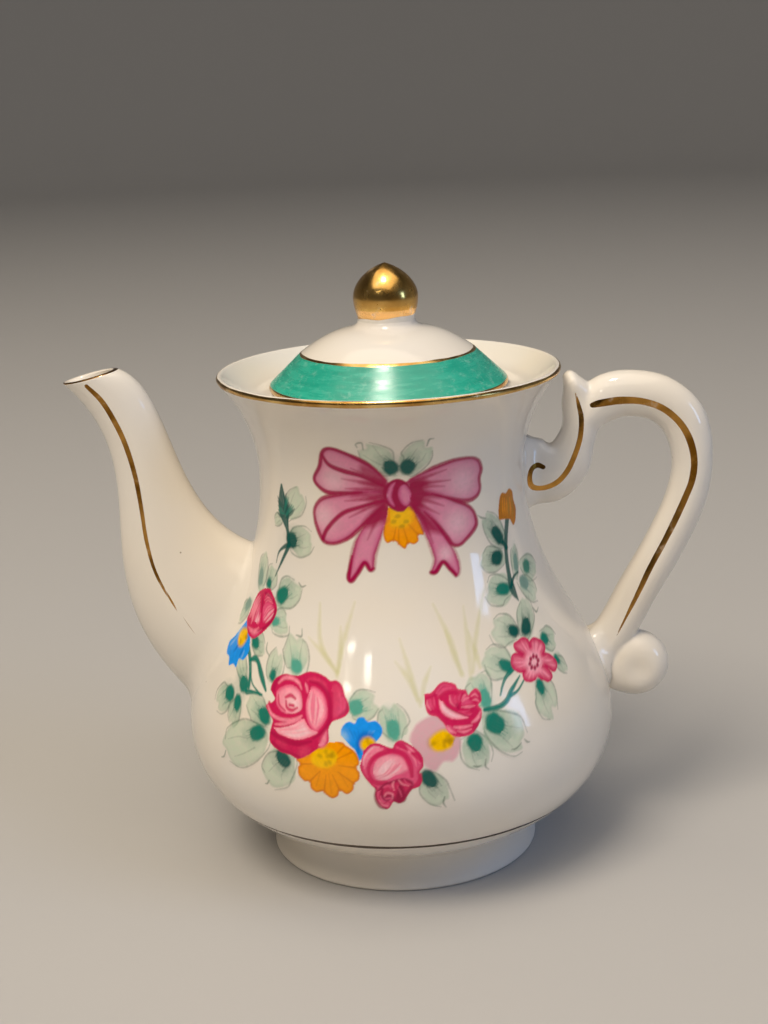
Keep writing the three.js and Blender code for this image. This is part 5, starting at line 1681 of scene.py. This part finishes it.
GATHERS = [
    [(-1.2, 68.9), (-3.4, 70), (-6.4, 71.4)], [(-1.2, 68.4), (-4, 69), (-8, 69.6)],
    [(-1.2, 67.7), (-4, 68), (-7.4, 68)], [(-1.2, 66.9), (-4, 66.4), (-7.6, 66)],
    [(-1.2, 66.2), (-4, 65), (-7, 63.4)], [(-1.2, 65.6), (-3.4, 63.6), (-5.4, 61.9)],
    [(-1.4, 65), (-2.8, 62.8), (-4.2, 60)], [(2.7, 68.8), (5.4, 69.6), (8.6, 70.4)],
    [(2.7, 68.2), (5.6, 68.6), (9.2, 68.6)], [(2.7, 67.7), (5.4, 68), (8.2, 67.7)],
    [(2.7, 66.4), (5.4, 65.7), (8, 64.6)], [(2.7, 66), (4.8, 64.8), (7.2, 63.4)],
    [(2.7, 65.6), (4.4, 63.4), (6.2, 61.2)], [(3.2, 65), (4.8, 62.2), (6, 59)],
]
for path in GATHERS:
    stroke(path, (0.9, 0.6, 0.1), RIBBON_DARK, 0.8, 0.4, 0.3)
FOLDS = [
    ([(-11.1, 73.4), (-10, 71.8), (-7.7, 70.9), (-5.2, 70.3), (-3.1, 69.4), (-1.2, 68.4)],
     (0.5, 0.85, 0.7, 0.5)),
    ([(-11.7, 59.7), (-11, 61.1), (-9.5, 62.8), (-7.7, 64.2), (-5.2, 65.1), (-2.6, 65.9), (-1, 66.2)],
     (0.7, 0.7, 0.5)),
    ([(-6.8, 57.4), *LEFT_TAIL[4:11]], (0.3, 0.7, 0.75, 0.6, 0.75, 0.4)),
    (RIGHT_TAIL[5:10], (0.6, 0.75, 0.6, 0.6)),
]
for path, widths in FOLDS:
    stroke(path, widths, RIBBON_DARK, 1, 0.3, 0.08)
dab((0.7, 67), 2.2, 2.6, 0.1, RIBBON_DARK, 1, 0.3)
fill([(-0.9, 67.4), (-0.4, 68.5), (0.4, 69), (0, 67.8), (-0.2, 66.6), (0.2, 65.2), (-0.5, 65.7),
     (-0.9, 66.5)], RIBBON, RIBBON_RIM, 0.5, 0.95, 0.3)
dab((1.8, 66.9), 0.95, 1.75, 0.1, RIBBON_RIM, 1, 0.3)
dab((1.85, 66.9), 0.7, 1.45, 0.1, RIBBON, 0.95, 0.5)
print("bow painted, cover on", round(100 * (canvas[..., 3] > 0.05).mean()), "% of the canvas")

# %% [markdown]
# ### Onto the pot
#
# The canvas becomes a very thin skin on the pot: only the cells that carry paint, and one more all round
# so that it fades out inside the skin. Each point stores the paint's colour and cover. Its material mixes
# that paint into the same glaze group as the pot has, so the skin's bare margin can't be told from the
# pot. Enamel is a little less glossy than glaze and stands up from it by a hair, which the bump shows.
# The back of such a pot is usually painted to match, so the same skin is turned by half a turn.

# %% Painted skins
SKIN_LIFT = 0.02
PAINT_RELIEF = 0.6
PAINT_MIRROR = 0.3
BARE_COVER = 0.012
BLACK = (0.0, 0.0, 0.0, 1.0)

painted, tree, shader, glaze = new_material("painted_enamel")
shader.inputs["Specular IOR Level"].default_value = PAINT_MIRROR
paint = node(tree, "ShaderNodeAttribute", attribute_name="paint")
bare = blend(tree, paint.outputs["Alpha"], glaze.outputs["Color"], BLACK)
added = node(tree, "ShaderNodeMix", data_type="RGBA", blend_type="ADD")
added.inputs["Factor"].default_value = 1
tree.links.new(bare, added.inputs[6])
tree.links.new(paint.outputs["Color"], added.inputs[7])
tree.links.new(added.outputs[2], shader.inputs["Base Color"])
enamel_gloss = remap(tree, noise(tree, own_place(tree), 500, 3), 0.3, 0.7, 0.1, 0.24)
gloss = blend_value(tree, paint.outputs["Alpha"], glaze.outputs["Roughness"], enamel_gloss)
tree.links.new(gloss, shader.inputs["Roughness"])
bump = tree.nodes["Bump"]
relief = combine(tree, "MULTIPLY", paint.outputs["Alpha"], PAINT_RELIEF)
tree.links.new(combine(tree, "ADD", glaze.outputs["Height"], relief), bump.inputs["Height"])

wet = canvas[..., 3] > BARE_COVER
for axis in (0, 1):
    wet = wet | np.roll(wet, 1, axis) | np.roll(wet, -1, axis)
corner_rows, corner_columns = np.nonzero(wet[:-1, :-1] & wet[1:, :-1] & wet[:-1, 1:] & wet[1:, 1:])
width = len(u_axis)
lower_left = corner_rows * width + corner_columns
quads = np.stack([lower_left, lower_left + 1, lower_left + width + 1, lower_left + width], -1)
used, quads = np.unique(quads, return_inverse=True)
quads = quads.reshape(-1, 4)
skin_u, skin_z = u_axis[used % width], z_axis[used // width]
bearing = skin_u / pot_radius(skin_z)
skin_radius = pot_radius(skin_z) + SKIN_LIFT
front_skin = np.stack([skin_radius * np.sin(bearing), -skin_radius * np.cos(bearing), skin_z], -1)
skin_paint = canvas.reshape(-1, 4)[used]

for name, turn in (("garland_front", (1, 1, 1)), ("garland_back", (-1, -1, 1))):
    garland = add_piece(name, front_skin * turn, quads.tolist(), painted)
    layer = garland.data.attributes.new("paint", "FLOAT_COLOR", "POINT")
    layer.data.foreach_set("color", skin_paint.astype(np.float32).ravel())
    belongs(garland, "pot", "porcelain")

# %% [markdown]
# ## Stage and light
#
# The pot stands on a plain pale floor that curves up all round like a photographer's paper sweep, so that
# no edge shows from any side. Two warm boxes do most of the lighting: a broad one overhead, which the
# gold mirrors, and one on the left, which is kept out of reflections because the glossy belly would
# mirror it as a big white square. A cool fill on the right tints the shaded side. What the belly mirrors
# are a narrow cool pane on the right, as a window would give, and two small lamps on the left, and the
# lid and the knob mirror a small lamp above. The pane and the lamp above only show in reflections and
# light nothing themselves, because they would cast hard shadows.

# %% Floor
FLOOR_FLAT, FLOOR_BEND, FLOOR_TOP = 1500, 700, 2600
FLOOR_SEGMENTS = 96
PALE_GREY = paint_colour("BFBEBD")
bend = np.linspace(0, math.pi / 2, 16)
floor_rows = np.vstack([
    [(0, 0), (200, 0), (700, 0)],
    np.stack([FLOOR_FLAT + FLOOR_BEND * np.sin(bend), FLOOR_BEND * (1 - np.cos(bend))], -1),
    [(FLOOR_FLAT + FLOOR_BEND, FLOOR_TOP)],
])
paper, tree, shader, glaze = new_material("pale_paper")
tree.nodes.remove(glaze)
shader.inputs["Roughness"].default_value = 0.9
shader.inputs["Base Color"].default_value = PALE_GREY
floor_points, floor_faces, _ = turned(floor_rows, FLOOR_SEGMENTS)
sweep = add_piece("paper_sweep", floor_points, [face[::-1] for face in floor_faces], paper)

# %% Lights
WORLD_COLOUR, WORLD_STRENGTH = (0.9, 0.92, 0.95, 1), 0.09
WARM_BULB = (1, 0.97, 0.86)


def soft_box(name, place, aim, width, height, power, colour, mirrored):
    """A lit rectangle in watts and metres. mirrored says whether gloss shows it."""
    light = bpy.data.lights.new(name, "AREA")
    light.shape = "RECTANGLE"
    light.size, light.size_y = width, height
    light.energy = power
    light.color = colour
    made = bpy.data.objects.new(name, light)
    made.location = place
    made.visible_glossy = mirrored
    made.rotation_euler = (Vector(aim) - Vector(place)).to_track_quat("-Z", "Y").to_euler()
    bpy.context.collection.objects.link(made)
    return made


POT_MIDDLE = (0, 0, 0.05)
soft_box("overhead", (-0.05, -0.15, 1.05), POT_MIDDLE, 1.2, 1.2, 6.2, (1, 0.87, 0.69), True)
bulb = soft_box("ceiling_lamp", (-0.055, -0.15, 1), POT_MIDDLE, 0.12, 0.12, 3, (1, 0.92, 0.78), True)
soft_box("key", (-0.34, -0.52, 0.96), POT_MIDDLE, 0.5, 0.5, 7.3, (1, 0.87, 0.71), False)
soft_box("cool_fill", (0.95, -0.5, 0.75), POT_MIDDLE, 0.6, 0.6, 2.9, (0.42, 0.62, 1), False)
pane = soft_box("pane", (0.88, -0.4, 0.3), POT_MIDDLE, 0.14, 0.34, 1, (0.3, 0.55, 1), True)
for mirrored_only in (bulb, pane):
    mirrored_only.visible_diffuse = False
soft_box("left_lamp", (-0.46, -0.68, 0.63), POT_MIDDLE, 0.07, 0.025, 0.1, WARM_BULB, True)
soft_box("right_lamp", (-0.3, -0.74, 0.685), POT_MIDDLE, 0.07, 0.025, 0.1, WARM_BULB, True)
world = bpy.data.worlds.new("Studio")
world.use_nodes = True
backdrop = world.node_tree.nodes["Background"]
backdrop.inputs["Color"].default_value = WORLD_COLOUR
backdrop.inputs["Strength"].default_value = WORLD_STRENGTH
bpy.context.scene.world = world
bpy.context.scene.view_settings.view_transform = "Standard"
